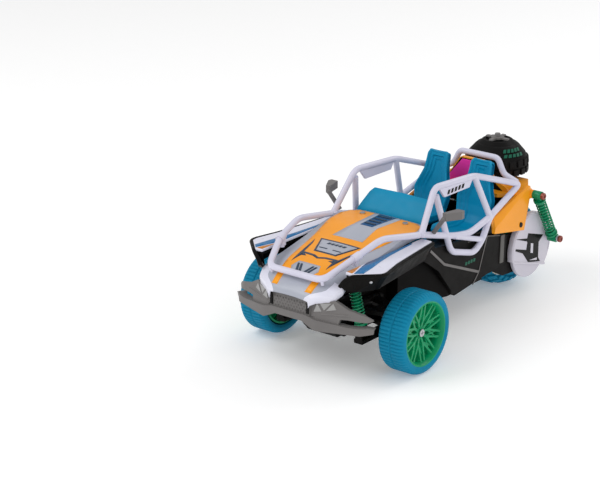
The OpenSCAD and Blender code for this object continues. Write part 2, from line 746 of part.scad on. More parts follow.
// A spur gear with straight-sided teeth and backlash, and its axis along X.
module spur_gear(teeth, x0, width, bore_r, phase) {
    pitch_r = teeth / 2;
    root_r = pitch_r - 1.2;
    tip_r = pitch_r + 0.8;
    root_w = 0.95;
    tip_w = 0.35;
    rotate([90, 0, 90]) translate([0, 0, x0]) difference() {
        linear_extrude(height = width) polygon([
            for (i = [0:teeth - 1]) let (a = phase + i * 360 / teeth)
                for (p = [[root_r, -root_w], [tip_r, -tip_w], [tip_r, tip_w], [root_r, root_w]])
                    [p[0] * cos(a) - p[1] * sin(a), p[0] * sin(a) + p[1] * cos(a)]
        ]);
        translate([0, 0, -1]) cylinder(h = width + 2, r = bore_r);
    }
}

module motor() {
    from_front_axle() color("#b0b0b4") difference() {
        union() {
            rod_x(motor_y, gear_z, arm_plate_x - 30, arm_plate_x - 0.05, motor_r);
            rod_x(motor_y, gear_z, arm_plate_x - 32, arm_plate_x - 29, 4);
        }
        rod_x(motor_y, gear_z, arm_plate_x - 12, arm_plate_x + 1, 1 + running_gap);
    }
}

module motor_pinion() {
    from_front_axle() color("#d8c27a") {
        translate([0, motor_y, gear_z]) spur_gear(pinion_teeth, gear_x, gear_w, 0.5, 0);
        rod_x(motor_y, gear_z, arm_plate_x - 11, gear_x + gear_w, 1);
    }
}

module idler_gear() {
    half_tooth = 180 / idler_teeth;
    from_front_axle() color("#e9e6dc")
        translate([0, idler_y, gear_z]) spur_gear(idler_teeth, gear_x, gear_w, 1.5 + running_gap, half_tooth);
}

module drive_axle() {
    from_front_axle() color("#c4c4c8") {
        rod_x(wheelbase, gear_z, -cover_x, cover_x, axle_r);
        translate([0, wheelbase, gear_z]) spur_gear(axle_teeth, gear_x, gear_w, axle_r - 0.5, 0);
    }
}

// Thin black lid over the gear train, on the left arm
module gear_case_lid() {
    from_front_axle() color("#1c1c1e")
        difference() {
            union() {
                rod_x(motor_y, gear_z, lid_x, lid_x + lid_w, pinion_teeth / 2 + 3.4);
                side_plate(lid_x, lid_x + lid_w, [
                    [motor_y, gear_z + 7], [idler_y - 2, gear_z + 16], [wheelbase, gear_z + 18],
                    [wheelbase, gear_z - 18], [idler_y - 2, gear_z - 16], [motor_y, gear_z - 7]
                ]);
                rod_x(wheelbase, gear_z, lid_x, lid_x + lid_w, 19);
                // Standoffs that carry the lid on the arm
                rod_x(motor_y - 7.2, gear_z, arm_plate_x + arm_plate_w + 0.05, lid_x + 0.5, 1);
                for (z = [gear_z - 15, gear_z + 15])
                    rod_x(idler_y + 16.5, z, arm_plate_x + arm_plate_w + 0.05, lid_x + 0.5, 1.3);
            }
            rod_x(wheelbase, gear_z, lid_x - 1, lid_x + lid_w + 1, axle_r + running_gap);
        }
}

// Round white covers on both sides, with a flat step along the bottom and the shocks' feet
module gear_cover(inner_x) {
    step_tilt = -16;
    difference() {
        union() {
            intersection() {
                rod_x(wheelbase, gear_z, inner_x, cover_out_x, gear_cover_r);
                translate([0, wheelbase, gear_z]) rotate([step_tilt, 0, 0])
                    block([0, -40, -13.5], [60, 40, 40]);
            }
            rod_x(wheelbase, gear_z, inner_x, inner_x + 3.5, gear_cover_r - 3);
            rod_x(rear_shock_foot[1], rear_shock_foot[2], inner_x, rear_shock_x - rear_eye_w / 2 - 0.3, 3.4);
            rod_x(rear_shock_foot[1], rear_shock_foot[2], cover_out_x - 2,
                  rear_shock_x + rear_eye_w / 2 + 0.5, shock_pin_r);
            rod_x(rear_shock_foot[1], rear_shock_foot[2], rear_shock_x + rear_eye_w / 2 + 0.3,
                  rear_shock_x + rear_eye_w / 2 + 3.5, 2.4);
        }
        rod_x(wheelbase, gear_z, inner_x - 1, cover_x + 1.2, axle_r + 1);
    }
}

module gear_covers() {
    from_front_axle() color("#e4e2ea") {
        gear_cover(cover_x);
        mirror([1, 0, 0]) gear_cover(cover_x);
    }
}

module rear_rim() {
    barrel_r = rear_rim_d / 2 - 1;
    half_w = rear_tyre_w / 2 - 1;
    from_front_axle() color("#14965a")
        translate([0, wheelbase, gear_z]) difference() {
            union() {
                difference() {
                    rod_x(0, 0, -half_w, half_w, barrel_r);
                    rod_x(0, 0, -half_w - 1, half_w + 1, barrel_r - 2);
                }
                for (x = [-half_w + 3, half_w - 6])
                    spokes(6, 3.5, barrel_r - 1.2, 22, x, x + 3, 2.2);
                rod_x(0, 0, -half_w, half_w, 5);
            }
            rod_x(0, 0, -half_w - 1, half_w + 1, axle_r + 0.01);
        }
}

module rear_tyre() {
    from_front_axle() color("#1284b0")
        translate([0, wheelbase, gear_z])
            tyre(rear_r, rear_rim_d / 2 - 0.95, rear_rim_d / 2, rear_tyre_w / 2, 12, [-8, 0, 8]);
}

// ---- Body panels -----------------------------------------------------------------------

// Wheel arch outline in plan, from the nose to the door, and its narrower lower edge
arch_top_z = 79.3;
arch_low_z = 66.5;
arch_top = [[37.8, -46], [43, -48.5], [58.5, -33], [59.5, -28], [54.5, -8], [47.5, 43], [38, 43]];
arch_low = [[38.5, -42], [42, -43], [50, -31], [51, -26], [48, -8], [43, 40], [38.5, 40]];

function inside_arch(outline) = [for (p = outline) [p[0] - wall, (p[1] + 3) * 0.94 - 3]];

module wheel_arch(top, low, drop) {
    hull() {
        flat_plate(arch_top_z - 1 - drop, arch_top_z - drop, top);
        flat_plate(arch_low_z - drop, arch_low_z + 1 - drop, low);
    }
}

module side_panel() {
    difference() {
        wheel_arch(arch_top, arch_low, 0);
        // Hollow of the arch, open downwards
        wheel_arch(inside_arch(arch_top), inside_arch(arch_low), wall);
    }
    side_plate(tub_half_w + seat_gap, tub_half_w + 3.4, [
        [40, 67], [40, arch_top_z - 2], [50, arch_top_z - 2], [58, 71], [wheelbase - 74, 64.5],
        [wheelbase - 36, 55], [wheelbase - 37, 33], [84, 26], [62, 52]
    ]);
}
module side_panel_left() { from_front_axle() color("#19191b") side_panel(); }
module side_panel_right() { from_front_axle() color("#19191b") on_side(-1) side_panel(); }

module fender() {
    flat_plate(arch_top_z + seat_gap, arch_top_z + seat_gap + 2.4, [
        [37, -47], [43.5, -49.2], [59.2, -33.4], [60.2, -28], [55.2, -8], [48.2, 44.5], [37.2, 44.5]
    ]);
}
module fender_left() { from_front_axle() color("#e6e8ef") fender(); }
module fender_right() { from_front_axle() color("#e6e8ef") on_side(-1) fender(); }

hood_plan = [
    [17, -63], [33, -54.5], [35.5, -48], [33.5, -28], [34.5, 0], [36, 42], [32, 53], [26, 55]
];
module hood() {
    from_front_axle() color("#f2a52a")
        difference() {
            intersection() {
                side_plate(-45, 45, [
                    [-63.5, 60], [-61.5, 65], [-57, 67.5], [-48, 73], [-38, 77.3], [-22, 79.6], [-4, 82.3],
                    [20, 86.6], [28, hood_deck_z], [56, hood_deck_z], [56, 80], [45, 79.8], [-30, 74],
                    [-45, 69], [-53, 63.5], [-59, 60]
                ]);
                flat_plate(50, 100, both(hood_plan));
            }
            intersection() {
                side_plate(-45, 45, [
                    [-60.5, 50], [-59.5, 63.5], [-56, 65.5], [-47.5, 71], [-37.6, 75.2], [-22, 77.5],
                    [-4, 80.2], [20, 84.5], [28, hood_deck_z - wall], [54, hood_deck_z - wall], [54, 50]
                ]);
                flat_plate(40, 100, both([
                    [16, -61], [31.5, -53.5], [33.5, -48], [31.5, -28], [32.5, 0], [34, 42], [30, 51.5],
                    [25, 53]
                ]));
            }
            both_sides() rod_z(hood_screw[0], hood_screw[1], 60, 100, screw_r + 0.2);
        }
}

module front_bumper() {
    grille_half_w = 17;
    from_front_axle() color("#807a75") {
        difference() {
            intersection() {
                front_plate(-bumper_reach, -40, both([
                    [20, 39.5], [53, 39.5], [59, 41], [60.5, 44], [56, 45], [44, 44.8], [38, 45.6],
                    [38.5, 48.6], [44, 49], [56, 48.2], [58.5, 49.6], [54, 53.5], [43, 56.5], [34, 61.6],
                    [26, 60], [grille_half_w, 59.3]
                ]));
                flat_plate(30, 70, both([
                    [22, -bumper_reach], [52, -54], [61, -46.5], [58, -42.5], [50, -44], [grille_half_w, -50]
                ]));
            }
            // Notch under the middle, between the two lower corners
            front_plate(-70, -30, both([[12, 44.5], [18, 39.9], [18, 30]]));
            // Grille recess
            block([-grille_half_w + 2, -bumper_reach - 1, 48.5],
                  [grille_half_w - 2, -bumper_reach + 1.2, 57.5]);
        }
        // Tongue that meets the front of the chassis box
        difference() {
            block([-12, -51, 40], [12, box_front_y - seat_gap / 2, 46]);
            both_sides() rod_y(8, 43, box_front_y - 6, box_front_y, screw_r + 0.02);
        }
    }
}

// ---- Roll cage -------------------------------------------------------------------------

function right(p) = [-p[0], p[1], p[2]];

module front_cage() {
    from_front_axle() color("#d4d2e4") {
        bar(bull_bar_corner, right(bull_bar_corner), cage_r);
        both_sides() {
            tube_run([bull_bar_corner, cage_lug, cage_bend, hoop_base + (cage_bend - hoop_base) * 0.07]);
            tube_end(bull_bar_corner);
            // Feet that stand on the hood
            rod_z(32.3, cage_lug[1], 80.2, cage_lug[2], 1.8);
            rod_z(22.5, bull_bar_corner[1] + 1.8, 70.7, bull_bar_corner[2], 1.2);
        }
    }
}

module door_hoop() {
    tube_run([hoop_base, hoop_front_top, hoop_peak, hoop_rear, door_mid, loop_post, loop_rear, loop_front,
              hoop_front_top]);
    tube_end(hoop_base);
    tube_run([hoop_base, sill_front, sill_rear, door_mid]);
    bar(hoop_peak, door_mid, cage_r);
    bar(sill_front + [0.4, 1, -0.8], loop_post, cage_r * 0.85);
    // Name plate under the top bar, with its markings left out
    side_plate(35, 37, [
        [hoop_front_top[1] + 6, hoop_front_top[2] - 1], [hoop_front_top[1] + 12, hoop_front_top[2] - 9],
        [hoop_peak[1] - 8, hoop_peak[2] - 6.5], [hoop_peak[1] - 4, hoop_peak[2]]
    ]);
}
module door_hoop_left() { from_front_axle() color("#d4d2e4") door_hoop(); }
module door_hoop_right() { from_front_axle() color("#d4d2e4") on_side(-1) door_hoop(); }

hoop_y = hoop_rear[1];
module rear_hoop() {
    shoulder = [hoop_half_w + 6, hoop_y, 96];
    top = [hoop_half_w, hoop_y, 108];
    inward = (shoulder - hoop_rear) / norm(shoulder - hoop_rear);
    from_front_axle() color("#d4d2e4") {
        tube_run([hoop_rear + inward * (cage_r + weld + 0.15), shoulder, top, right(top), right(shoulder),
                  right(hoop_rear + inward * (cage_r + weld + 0.15))]);
    }
}

// ---- Cockpit ---------------------------------------------------------------------------

liner_rear_y = wheelbase - 38;
liner_floor_z = tub_rim_z + seat_gap;
module cockpit_liner() {
    inner_w = tub_half_w - wall;
    from_front_axle() color("#141416") {
        // Rear wall, raised behind the seats
        front_plate(liner_rear_y - wall, liner_rear_y, both([[inner_w + 1, 62], [inner_w + 1, 74]]));
        difference() {
            flat_plate(liner_floor_z, 66, both([[34, 58], [tub_half_w, 82], [tub_half_w, liner_rear_y]]));
            flat_plate(liner_floor_z + wall, 80, both([
                [inner_w - 4, 60], [inner_w, 83], [inner_w, liner_rear_y - wall]
            ]));
        }
    }
}

dash_low = [58, 80];
dash_top = [70, 101];
module dashboard() {
    from_front_axle() color("#1a86ad")
        difference() {
            intersection() {
                side_plate(-40, 40, [
                    [56.4, 66], [56.4, 87.8], [dash_top[0] - 1, dash_top[1]], [dash_top[0] + 4, dash_top[1] - 0.6],
                    [dash_top[0] + 4, 80], [62, 66]
                ]);
                front_plate(50, 90, both([[33, 60], [35.5, 86], [27, 101.5]]));
            }
            side_plate(-33, 33, [
                [58.6, 60], [58.6, 87], [dash_top[0], dash_top[1] - 2.4], [dash_top[0] + 5, 98], [dash_top[0] + 5, 60]
            ]);
        }
}

seat_back_y = wheelbase - 43;
seat_base_z = liner_floor_z + wall + seat_gap;
cushion_half_w = 14.5;
shoulder_half_w = 16;
module seat() {
    translate([seat_x, 0, 0]) {
        // Cushion
        side_plate(-cushion_half_w, cushion_half_w, [
            [seat_back_y - 46, seat_base_z], [seat_back_y - 47, seat_base_z + 7], [seat_back_y - 42, seat_base_z + 9],
            [seat_back_y - 12, seat_base_z + 6], [seat_back_y - 6, seat_base_z]
        ]);
        // Backrest, wider at the shoulders than at the head
        intersection() {
            side_plate(-shoulder_half_w, shoulder_half_w, [
                [seat_back_y - 14, seat_base_z + 1], [seat_back_y - 5, 92], [seat_back_y - 1, 112.5],
                [seat_back_y + 2, 114], [seat_back_y + 5, 112], [seat_back_y + 3, 92], [seat_back_y - 6, seat_base_z]
            ]);
            front_plate(seat_back_y - 30, seat_back_y + 20, both([
                [cushion_half_w, 50], [cushion_half_w, 72], [shoulder_half_w, 78], [shoulder_half_w, 84],
                [12, 97], [10.3, 101], [9.8, 111], [7.5, 115]
            ]));
        }
    }
}
module seat_left() { from_front_axle() color("#1284b0") seat(); }
module seat_right() { from_front_axle() color("#1284b0") on_side(-1) seat(); }

mirror_elbow = [52, 50, 97.5];
mirror_r = 1.7;
mirror_clip = hoop_base + (sill_front - hoop_base) * 0.32;
mirror_way = (mirror_elbow - mirror_clip) / norm(mirror_elbow - mirror_clip);
module mirrors() {
    from_front_axle() color("#86827d") both_sides() {
        bar(mirror_clip + mirror_way * (cage_r + mirror_r / 2), mirror_elbow, mirror_r);
        translate(mirror_elbow) sphere(r = mirror_r + 0.2);
        // Mirror housing, swept back along the car
        flat_plate(96.5, 102.3, [[51, 50], [54.5, 49.3], [61, 60.5], [60.5, 64], [54.5, 64]]);
    }
}

// ---- Rear deck -------------------------------------------------------------------------

deck_z = 82.5;
module rear_body() {
    bracket_y = rear_shock_top[1];
    bracket_z = rear_shock_top[2];
    from_front_axle() color("#f2a52a") {
        both_sides() {
            // Flared side, wider at its lower edge
            hull() {
                side_plate(43.6, 46, [
                    [wheelbase - 62, 64], [wheelbase - 20, 56], [wheelbase - 19, 60], [wheelbase - 61, 68]
                ]);
                side_plate(38.8, 41.2, [
                    [wheelbase - 57, 74], [wheelbase - 22, 84.5], [wheelbase - 6, 87.5], [wheelbase - 4, 84],
                    [wheelbase - 7, 80]
                ]);
            }
            side_plate(38.8, 41.2, [
                [wheelbase - 14, 76], [bracket_y + 2, bracket_z - 3.4], [bracket_y + 3, bracket_z],
                [wheelbase - 4, 85], [wheelbase - 14, 85]
            ]);
            rod_x(bracket_y, bracket_z, 40, rear_shock_x - rear_eye_w / 2 - 0.3, 3.4);
            rod_x(bracket_y, bracket_z, 41, rear_shock_x + rear_eye_w / 2 + 0.5, shock_pin_r);
            rod_x(bracket_y, bracket_z, rear_shock_x + rear_eye_w / 2 + 0.3, rear_shock_x + rear_eye_w / 2 + 1.8, 2.6);
        }
        // Deck under the spare wheel
        flat_plate(deck_z, deck_z + 3, both([
            [29, wheelbase - 34], [39, wheelbase - 23], [39, wheelbase - 5], [27, wheelbase + 14]
        ]));
        // Bulkhead behind the seats
        front_plate(hoop_y - 9, hoop_y - 6, both([
            [38.5, 70], [38.5, 80], [34.5, 84.5], [31, 89], [20, 93.5], [12, 105], [10, 106.5]
        ]));
        // Hub that the spare wheel sits on
        rod_z(0, wheelbase + 8, deck_z + 1, spare_low_z, 8);
    }
}

spare_low_z = 87.5;
spare_h = 27;
spare_y = wheelbase + 9.5;
module spare_wheel() {
    r = spare_d / 2;
    from_front_axle() color("#161618")
        translate([0, spare_y, spare_low_z + seat_gap]) difference() {
            rotate_extrude() polygon([
                [0, 0], [r - 5, 0], [r - 1, 3], [r, 9], [r - 0.5, 15], [r - 3.5, 20], [r - 7, 24.5],
                [r - 12, spare_h - 1], [10, spare_h], [0, spare_h]
            ]);
            for (z = [7, 13]) translate([0, 0, z]) difference() {
                cylinder(r = r + 1, h = 1);
                translate([0, 0, -1]) cylinder(r = r - 1.5, h = 3);
            }
        }
}

module spare_clamp() {
    z = spare_low_z + seat_gap + spare_h + 0.1;
    from_front_axle() color("#8a8782")
        translate([0, spare_y, z]) {
            cylinder(r = 5, h = 1.6);
            block([-10, -1.6, 0], [10, 1.6, 1.3]);
            block([-1.6, -10, 0], [1.6, 10, 1.3]);
            cylinder(r = 2.2, h = 4.2);
        }
}

chassis_tub();
side_panel_left();
side_panel_right();
front_bumper();
hood();
fender_left();
fender_right();
front_cage();
door_hoop_left();
door_hoop_right();
rear_hoop();
dashboard();
cockpit_liner();
seat_left();
seat_right();
mirrors();
rear_body();
spare_wheel();
spare_clamp();
battery_pack();
battery_door();
circuit_board();
power_switch();
steering_servo();
servo_horn();
steering_rack();
body_screws();
hinge_pins();
lower_arm_left();
lower_arm_right();
upper_arm_left();
upper_arm_right();
hub_carrier_left();
hub_carrier_right();
knuckle_left();
knuckle_right();
wheel_screw_left();
wheel_screw_right();
front_rim_left();
front_rim_right();
front_tyre_left();
front_tyre_right();
front_shock_body_left();
front_shock_body_right();
front_shock_rod_left();
front_shock_rod_right();
front_spring_left();
front_spring_right();
swing_arm();
gear_case_lid();
gear_covers();
motor();
motor_pinion();
idler_gear();
drive_axle();
rear_rim();
rear_tyre();
rear_shock_bodies();
rear_shock_rods();
rear_springs();
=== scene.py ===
import math

import bmesh
import bpy
from mathutils import Matrix, Vector


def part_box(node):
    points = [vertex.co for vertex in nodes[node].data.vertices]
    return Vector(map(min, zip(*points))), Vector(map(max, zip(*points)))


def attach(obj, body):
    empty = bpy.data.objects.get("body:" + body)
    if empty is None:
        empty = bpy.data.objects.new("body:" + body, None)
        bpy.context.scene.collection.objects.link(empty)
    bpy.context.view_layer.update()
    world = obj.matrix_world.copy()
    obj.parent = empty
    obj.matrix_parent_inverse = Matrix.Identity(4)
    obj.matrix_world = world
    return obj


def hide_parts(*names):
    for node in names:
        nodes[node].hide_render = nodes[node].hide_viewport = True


# Looks of the remote control roadster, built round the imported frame.
# Lengths in the shapes below are millimetres, with y counted from the front axle.

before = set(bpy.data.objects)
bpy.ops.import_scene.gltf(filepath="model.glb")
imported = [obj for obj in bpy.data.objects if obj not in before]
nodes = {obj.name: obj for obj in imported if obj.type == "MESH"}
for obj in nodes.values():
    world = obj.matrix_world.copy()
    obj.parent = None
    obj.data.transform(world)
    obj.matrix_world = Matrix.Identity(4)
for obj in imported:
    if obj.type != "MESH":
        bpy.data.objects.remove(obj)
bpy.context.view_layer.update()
MM = 0.001


def centre(node):
    low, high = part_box(node)
    return (low + high) / 2


FRONT_Y = centre("front_tyre_left").y
WHEELBASE = (centre("rear_tyre").y - FRONT_Y) / MM
FRONT_R = centre("front_tyre_left").z / MM
REAR_R = centre("rear_tyre").z / MM
TRACK = 2 * centre("front_tyre_left").x / MM


def mm(x, y, z):
    """A point of the frame, in metres."""
    return Vector((x * MM, FRONT_Y + y * MM, z * MM))


def along(table, t):
    """Straight-line interpolation in a list of (t, value) pairs."""
    if t <= table[0][0]:
        return table[0][1]
    for (t0, v0), (t1, v1) in zip(table, table[1:]):
        if t <= t1:
            return v0 + (v1 - v0) * (t - t0) / (t1 - t0)
    return table[-1][1]


def mirrored(points):
    """A left-hand outline closed with its mirror image."""
    return list(points) + [(-x, y) for x, y in reversed(points)]


def steps(low, high, count):
    """Evenly spaced values from low to high, both included."""
    return [low + (high - low) * i / count for i in range(count + 1)]


def half_width(node):
    low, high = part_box(node)
    return (high.x - low.x) / 2 / MM


def heights(node):
    """A node's lowest and highest point."""
    low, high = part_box(node)
    return low.z / MM, high.z / MM


def both_sides():
    return (("left", 1), ("right", -1))


# ---- Materials --------------------------------------------------------------------------

DRIFT_SCALE = 45
GLOSS_SCALE = 160
BUMP_HEIGHT = 0.0002


def srgb(r, g, b):
    """A linear colour from 0 to 255 screen values."""
    channels = [c / 255 for c in (r, g, b)]
    return tuple(c / 12.92 if c < 0.04 else ((c + 0.055) / 1.055) ** 2.4 for c in channels) + (1,)


def shaded(color, k):
    """A colour made k times as bright."""
    return tuple(min(1, c * k) for c in color[:3]) + (1,)


def noise(tree, scale, detail=3, rough=0.55):
    """A noise value fixed to the object's own shape."""
    coords = tree.nodes.new("ShaderNodeTexCoord")
    node = tree.nodes.new("ShaderNodeTexNoise")
    node.inputs["Scale"].default_value = scale
    node.inputs["Detail"].default_value = detail
    node.inputs["Roughness"].default_value = rough
    tree.links.new(coords.outputs["Object"], node.inputs["Vector"])
    return node.outputs["Fac"]


def spread(tree, value, low, high):
    """Maps a noise value onto low..high."""
    node = tree.nodes.new("ShaderNodeMapRange")
    node.inputs["From Min"].default_value = 0.3
    node.inputs["From Max"].default_value = 0.7
    node.inputs["To Min"].default_value = low
    node.inputs["To Max"].default_value = high
    tree.links.new(value, node.inputs["Value"])
    return node.outputs["Result"]


def blended(tree, fac, a, b):
    """Mixes two colours, each given as a value or as a node's output."""
    node = tree.nodes.new("ShaderNodeMix")
    node.data_type = "RGBA"
    tree.links.new(fac, node.inputs["Factor"])
    for key, value in (("A", a), ("B", b)):
        socket = [s for s in node.inputs if s.name == key and s.type == "RGBA"][0]
        if isinstance(value, tuple):
            socket.default_value = value
        else:
            tree.links.new(value, socket)
    return [s for s in node.outputs if s.type == "RGBA"][0]


def finish(name, color, roughness=0.4, metallic=0.0, mottle=0.06, grain=0.12, grain_scale=1500, coat=0.0,
           worn=0.08, scratch=0.0, shine=0.18):
    """Moulded plastic, rubber or metal: broad colour drift, lighter worn edges, uneven gloss, fine grain."""
    mat = bpy.data.materials.new(name)
    mat.use_nodes = True
    tree = mat.node_tree
    shader = tree.nodes["Principled BSDF"]
    drift = spread(tree, noise(tree, DRIFT_SCALE, 4), 0, 1)
    base = blended(tree, drift, shaded(color, 1 - mottle), shaded(color, 1 + mottle))
    # Pointiness is 0.5 on a flat face and higher on an outer edge.
    edges = tree.nodes.new("ShaderNodeNewGeometry").outputs["Pointiness"]
    edge_mask = tree.nodes.new("ShaderNodeMapRange")
    edge_mask.inputs["From Min"].default_value = 0.52
    edge_mask.inputs["From Max"].default_value = 0.62
    edge_mask.inputs["To Max"].default_value = worn
    tree.links.new(edges, edge_mask.inputs["Value"])
    light = tuple(min(1, c * 1.5 + 0.06) for c in color[:3]) + (1,)
    tree.links.new(blended(tree, edge_mask.outputs["Result"], base, light), shader.inputs["Base Color"])
    gloss = spread(tree, noise(tree, GLOSS_SCALE, 3), roughness - 0.06, roughness + 0.08)
    tree.links.new(gloss, shader.inputs["Roughness"])
    bump = tree.nodes.new("ShaderNodeBump")
    bump.inputs["Strength"].default_value = grain
    bump.inputs["Distance"].default_value = BUMP_HEIGHT
    height = noise(tree, grain_scale, 2)
    if scratch:
        coarse = spread(tree, noise(tree, grain_scale / 9, 5, 0.7), 0, scratch)
        add = tree.nodes.new("ShaderNodeMath")
        tree.links.new(height, add.inputs[0])
        tree.links.new(coarse, add.inputs[1])
        height = add.outputs[0]
    tree.links.new(height, bump.inputs["Height"])
    tree.links.new(bump.outputs["Normal"], shader.inputs["Normal"])
    shader.inputs["Metallic"].default_value = metallic
    shader.inputs["Specular IOR Level"].default_value = shine
    shader.inputs["Coat Weight"].default_value = coat
    shader.inputs["Coat Roughness"].default_value = 0.15
    return mat


BLACK = finish("moulded_black", srgb(14, 12, 11), 0.42, grain=0.2, mottle=0.15, worn=0.04, shine=0.07)
SATIN_BLACK = finish("satin_black", srgb(8, 7, 7), 0.3, grain=0.08, mottle=0.1, worn=0.04, shine=0.1)
DARK_GREY = finish("dark_grey_plastic", srgb(24, 22, 21), 0.45, grain=0.2, shine=0.1)
GREY = finish("bumper_grey_plastic", srgb(116, 113, 112), 0.45, grain=0.22, mottle=0.05)
PILLAR = finish("pillar_grey_plastic", srgb(96, 94, 92), 0.45, grain=0.2)
LAMP_GREY = finish("lamp_grey_plastic", srgb(156, 155, 154), 0.3, grain=0.08, coat=0.3)
WHITE = finish("white_plastic", srgb(226, 226, 240), 0.32, grain=0.06, mottle=0.02, coat=0.25)
CAGE = finish("cage_white_plastic", srgb(214, 212, 230), 0.34, grain=0.08, mottle=0.03, coat=0.2)
COVER = finish("cover_white_plastic", srgb(208, 204, 216), 0.36, grain=0.08, mottle=0.03, coat=0.2)
SILVER = finish("silver_film", srgb(172, 176, 188), 0.34, grain=0.05, mottle=0.03, coat=0.3)
ORANGE = finish("orange_plastic", srgb(250, 160, 26), 0.34, grain=0.06, mottle=0.03, coat=0.3)
BROWN = finish("brown_orange_film", srgb(202, 128, 44), 0.36, grain=0.05, mottle=0.04, coat=0.2)
NAVY = finish("navy_film", srgb(38, 56, 78), 0.34, grain=0.05, mottle=0.04, coat=0.3)
VENT_BLUE = finish("vent_blue_film", srgb(18, 78, 128), 0.34, grain=0.05, mottle=0.04, coat=0.3)
BLUE = finish("blue_film", srgb(0, 108, 166), 0.34, grain=0.05, mottle=0.03, coat=0.3)
PINK = finish("pink_plastic", srgb(255, 62, 176), 0.36, grain=0.06, mottle=0.03, coat=0.2)
CYAN = finish("cyan_plastic", srgb(0, 140, 182), 0.42, grain=0.14, mottle=0.04)
TYRE = finish("cyan_rubber", srgb(0, 130, 166), 0.62, grain=0.35, grain_scale=900, mottle=0.08, scratch=0.5)
SPARE = finish("black_rubber", srgb(16, 15, 15), 0.55, grain=0.35, grain_scale=900, mottle=0.12, scratch=0.5,
               shine=0.1)
GREEN = finish("green_plastic", srgb(0, 148, 96), 0.36, grain=0.08, mottle=0.05, coat=0.15)
SHOCK = finish("green_shock", srgb(0, 132, 88), 0.3, grain=0.06, mottle=0.05, coat=0.3)
SPRING = finish("green_spring", srgb(8, 144, 98), 0.28, grain=0.05, mottle=0.04, coat=0.4)
MARK_GREEN = finish("dark_green_film", srgb(18, 92, 70), 0.36, grain=0.05, mottle=0.04)
STEEL = finish("turned_steel", srgb(190, 190, 194), 0.28, metallic=1.0, grain=0.1, grain_scale=2500,
               mottle=0.05)
BOLT = finish("red_brown_bolt", srgb(150, 84, 74), 0.35, metallic=0.6, grain=0.1, mottle=0.08)
BRASS = finish("brass", srgb(196, 168, 96), 0.3, metallic=1.0, grain=0.1, mottle=0.05)
NYLON = finish("cream_nylon", srgb(226, 222, 206), 0.4, grain=0.1, mottle=0.03)
WRAP = finish("battery_wrap", srgb(40, 98, 178), 0.25, grain=0.05, coat=0.5)
BOARD = finish("circuit_board", srgb(26, 100, 54), 0.4, grain=0.3, grain_scale=700, mottle=0.2)


# ---- Mesh building ----------------------------------------------------------------------


BLOCK_FACES = [(0, 1, 3, 2), (4, 6, 7, 5), (0, 4, 5, 1), (2, 3, 7, 6), (0, 2, 6, 4), (1, 5, 7, 3)]


class Shape:
    """Points and faces collected from simple operations, with a material number for each face."""

    def __init__(self):
        self.verts = []
        self.faces = []
        self.marks = []

    def add(self, verts, faces, marks=None):
        start = len(self.verts)
        self.verts += [Vector(v) for v in verts]
        self.faces += [tuple(i + start for i in f) for f in faces]
        self.marks += marks or [0] * len(faces)

    def grid(self, rows, around=False, mark_of=None):
        """A sheet of quads through rows of points; around closes each row on itself."""
        width = len(rows[0])
        faces = []
        marks = []
        for i in range(len(rows) - 1):
            for j in range(width if around else width - 1):
                k = (j + 1) % width
                faces.append((i * width + j, i * width + k, (i + 1) * width + k, (i + 1) * width + j))
                marks.append(mark_of(i, j) if mark_of else 0)
        self.add([p for row in rows for p in row], faces, marks)

    def tube(self, points, radius, sides=14):
        """A round bar along a run of points, closed at both ends."""
        normal = None
        rings = []
        for i, p in enumerate(points):
            way = (points[min(i + 1, len(points) - 1)] - points[max(i - 1, 0)]).normalized()
            if normal is None:
                normal = way.orthogonal().normalized()
            normal = (normal - way * normal.dot(way)).normalized()
            side = way.cross(normal)
            rings.append([p + (normal * math.cos(a) + side * math.sin(a)) * radius
                          for a in (2 * math.pi * j / sides for j in range(sides))])
        self.grid(rings, around=True)
        last = len(self.verts)
        first = last - sides * len(rings)
        self.faces += [tuple(range(first + sides - 1, first - 1, -1)), tuple(range(last - sides, last))]
        self.marks += [0, 0]

    def prism(self, outline, base, top):
        """An outline made solid: base and top each turn one of its points into a point in space."""
        n = len(outline)
        verts = [base(*p) for p in outline] + [top(*p) for p in outline]
        faces = [tuple(reversed(range(n))), tuple(range(n, 2 * n))]
        faces += [(i, (i + 1) % n, n + (i + 1) % n, n + i) for i in range(n)]
        self.add(verts, faces)

    def lathe(self, profile, middle, segments=64, axis="X"):
        """A profile of (along the axis, radius) points turned round an axis through middle."""
        rings = []
        for t, r in profile:
            ring = []
            for j in range(segments):
                a = 2 * math.pi * j / segments
                c, s = r * math.cos(a) * MM, r * math.sin(a) * MM
                offset = (t * MM, c, s) if axis == "X" else (c, s, t * MM)
                ring.append(middle + Vector(offset))
            rings.append(ring)
        self.grid(rings, around=True)

    def box(self, middle, size, turn=None):
        """A block with its middle at a point, turned by a matrix."""
        turn = turn or Matrix.Identity(3)
        corners = [(x, y, z) for x in (-0.5, 0.5) for y in (-0.5, 0.5) for z in (-0.5, 0.5)]
        verts = [middle + turn @ Vector([c * s * MM for c, s in zip(k, size)]) for k in corners]
        self.add(verts, BLOCK_FACES)


def rounded(points, radius, cuts=6):
    """A run of points with its inner corners rounded."""
    made = [points[0]]
    for before, corner, after in zip(points, points[1:], points[2:]):
        back, ahead = before - corner, after - corner
        reach = min(radius * MM, back.length * 0.45, ahead.length * 0.45)
        a = corner + back.normalized() * reach
        b = corner + ahead.normalized() * reach
        for t in steps(0, 1, cuts):
            made.append(a * (1 - t) ** 2 + corner * 2 * t * (1 - t) + b * t * t)
    return made + [points[-1]]


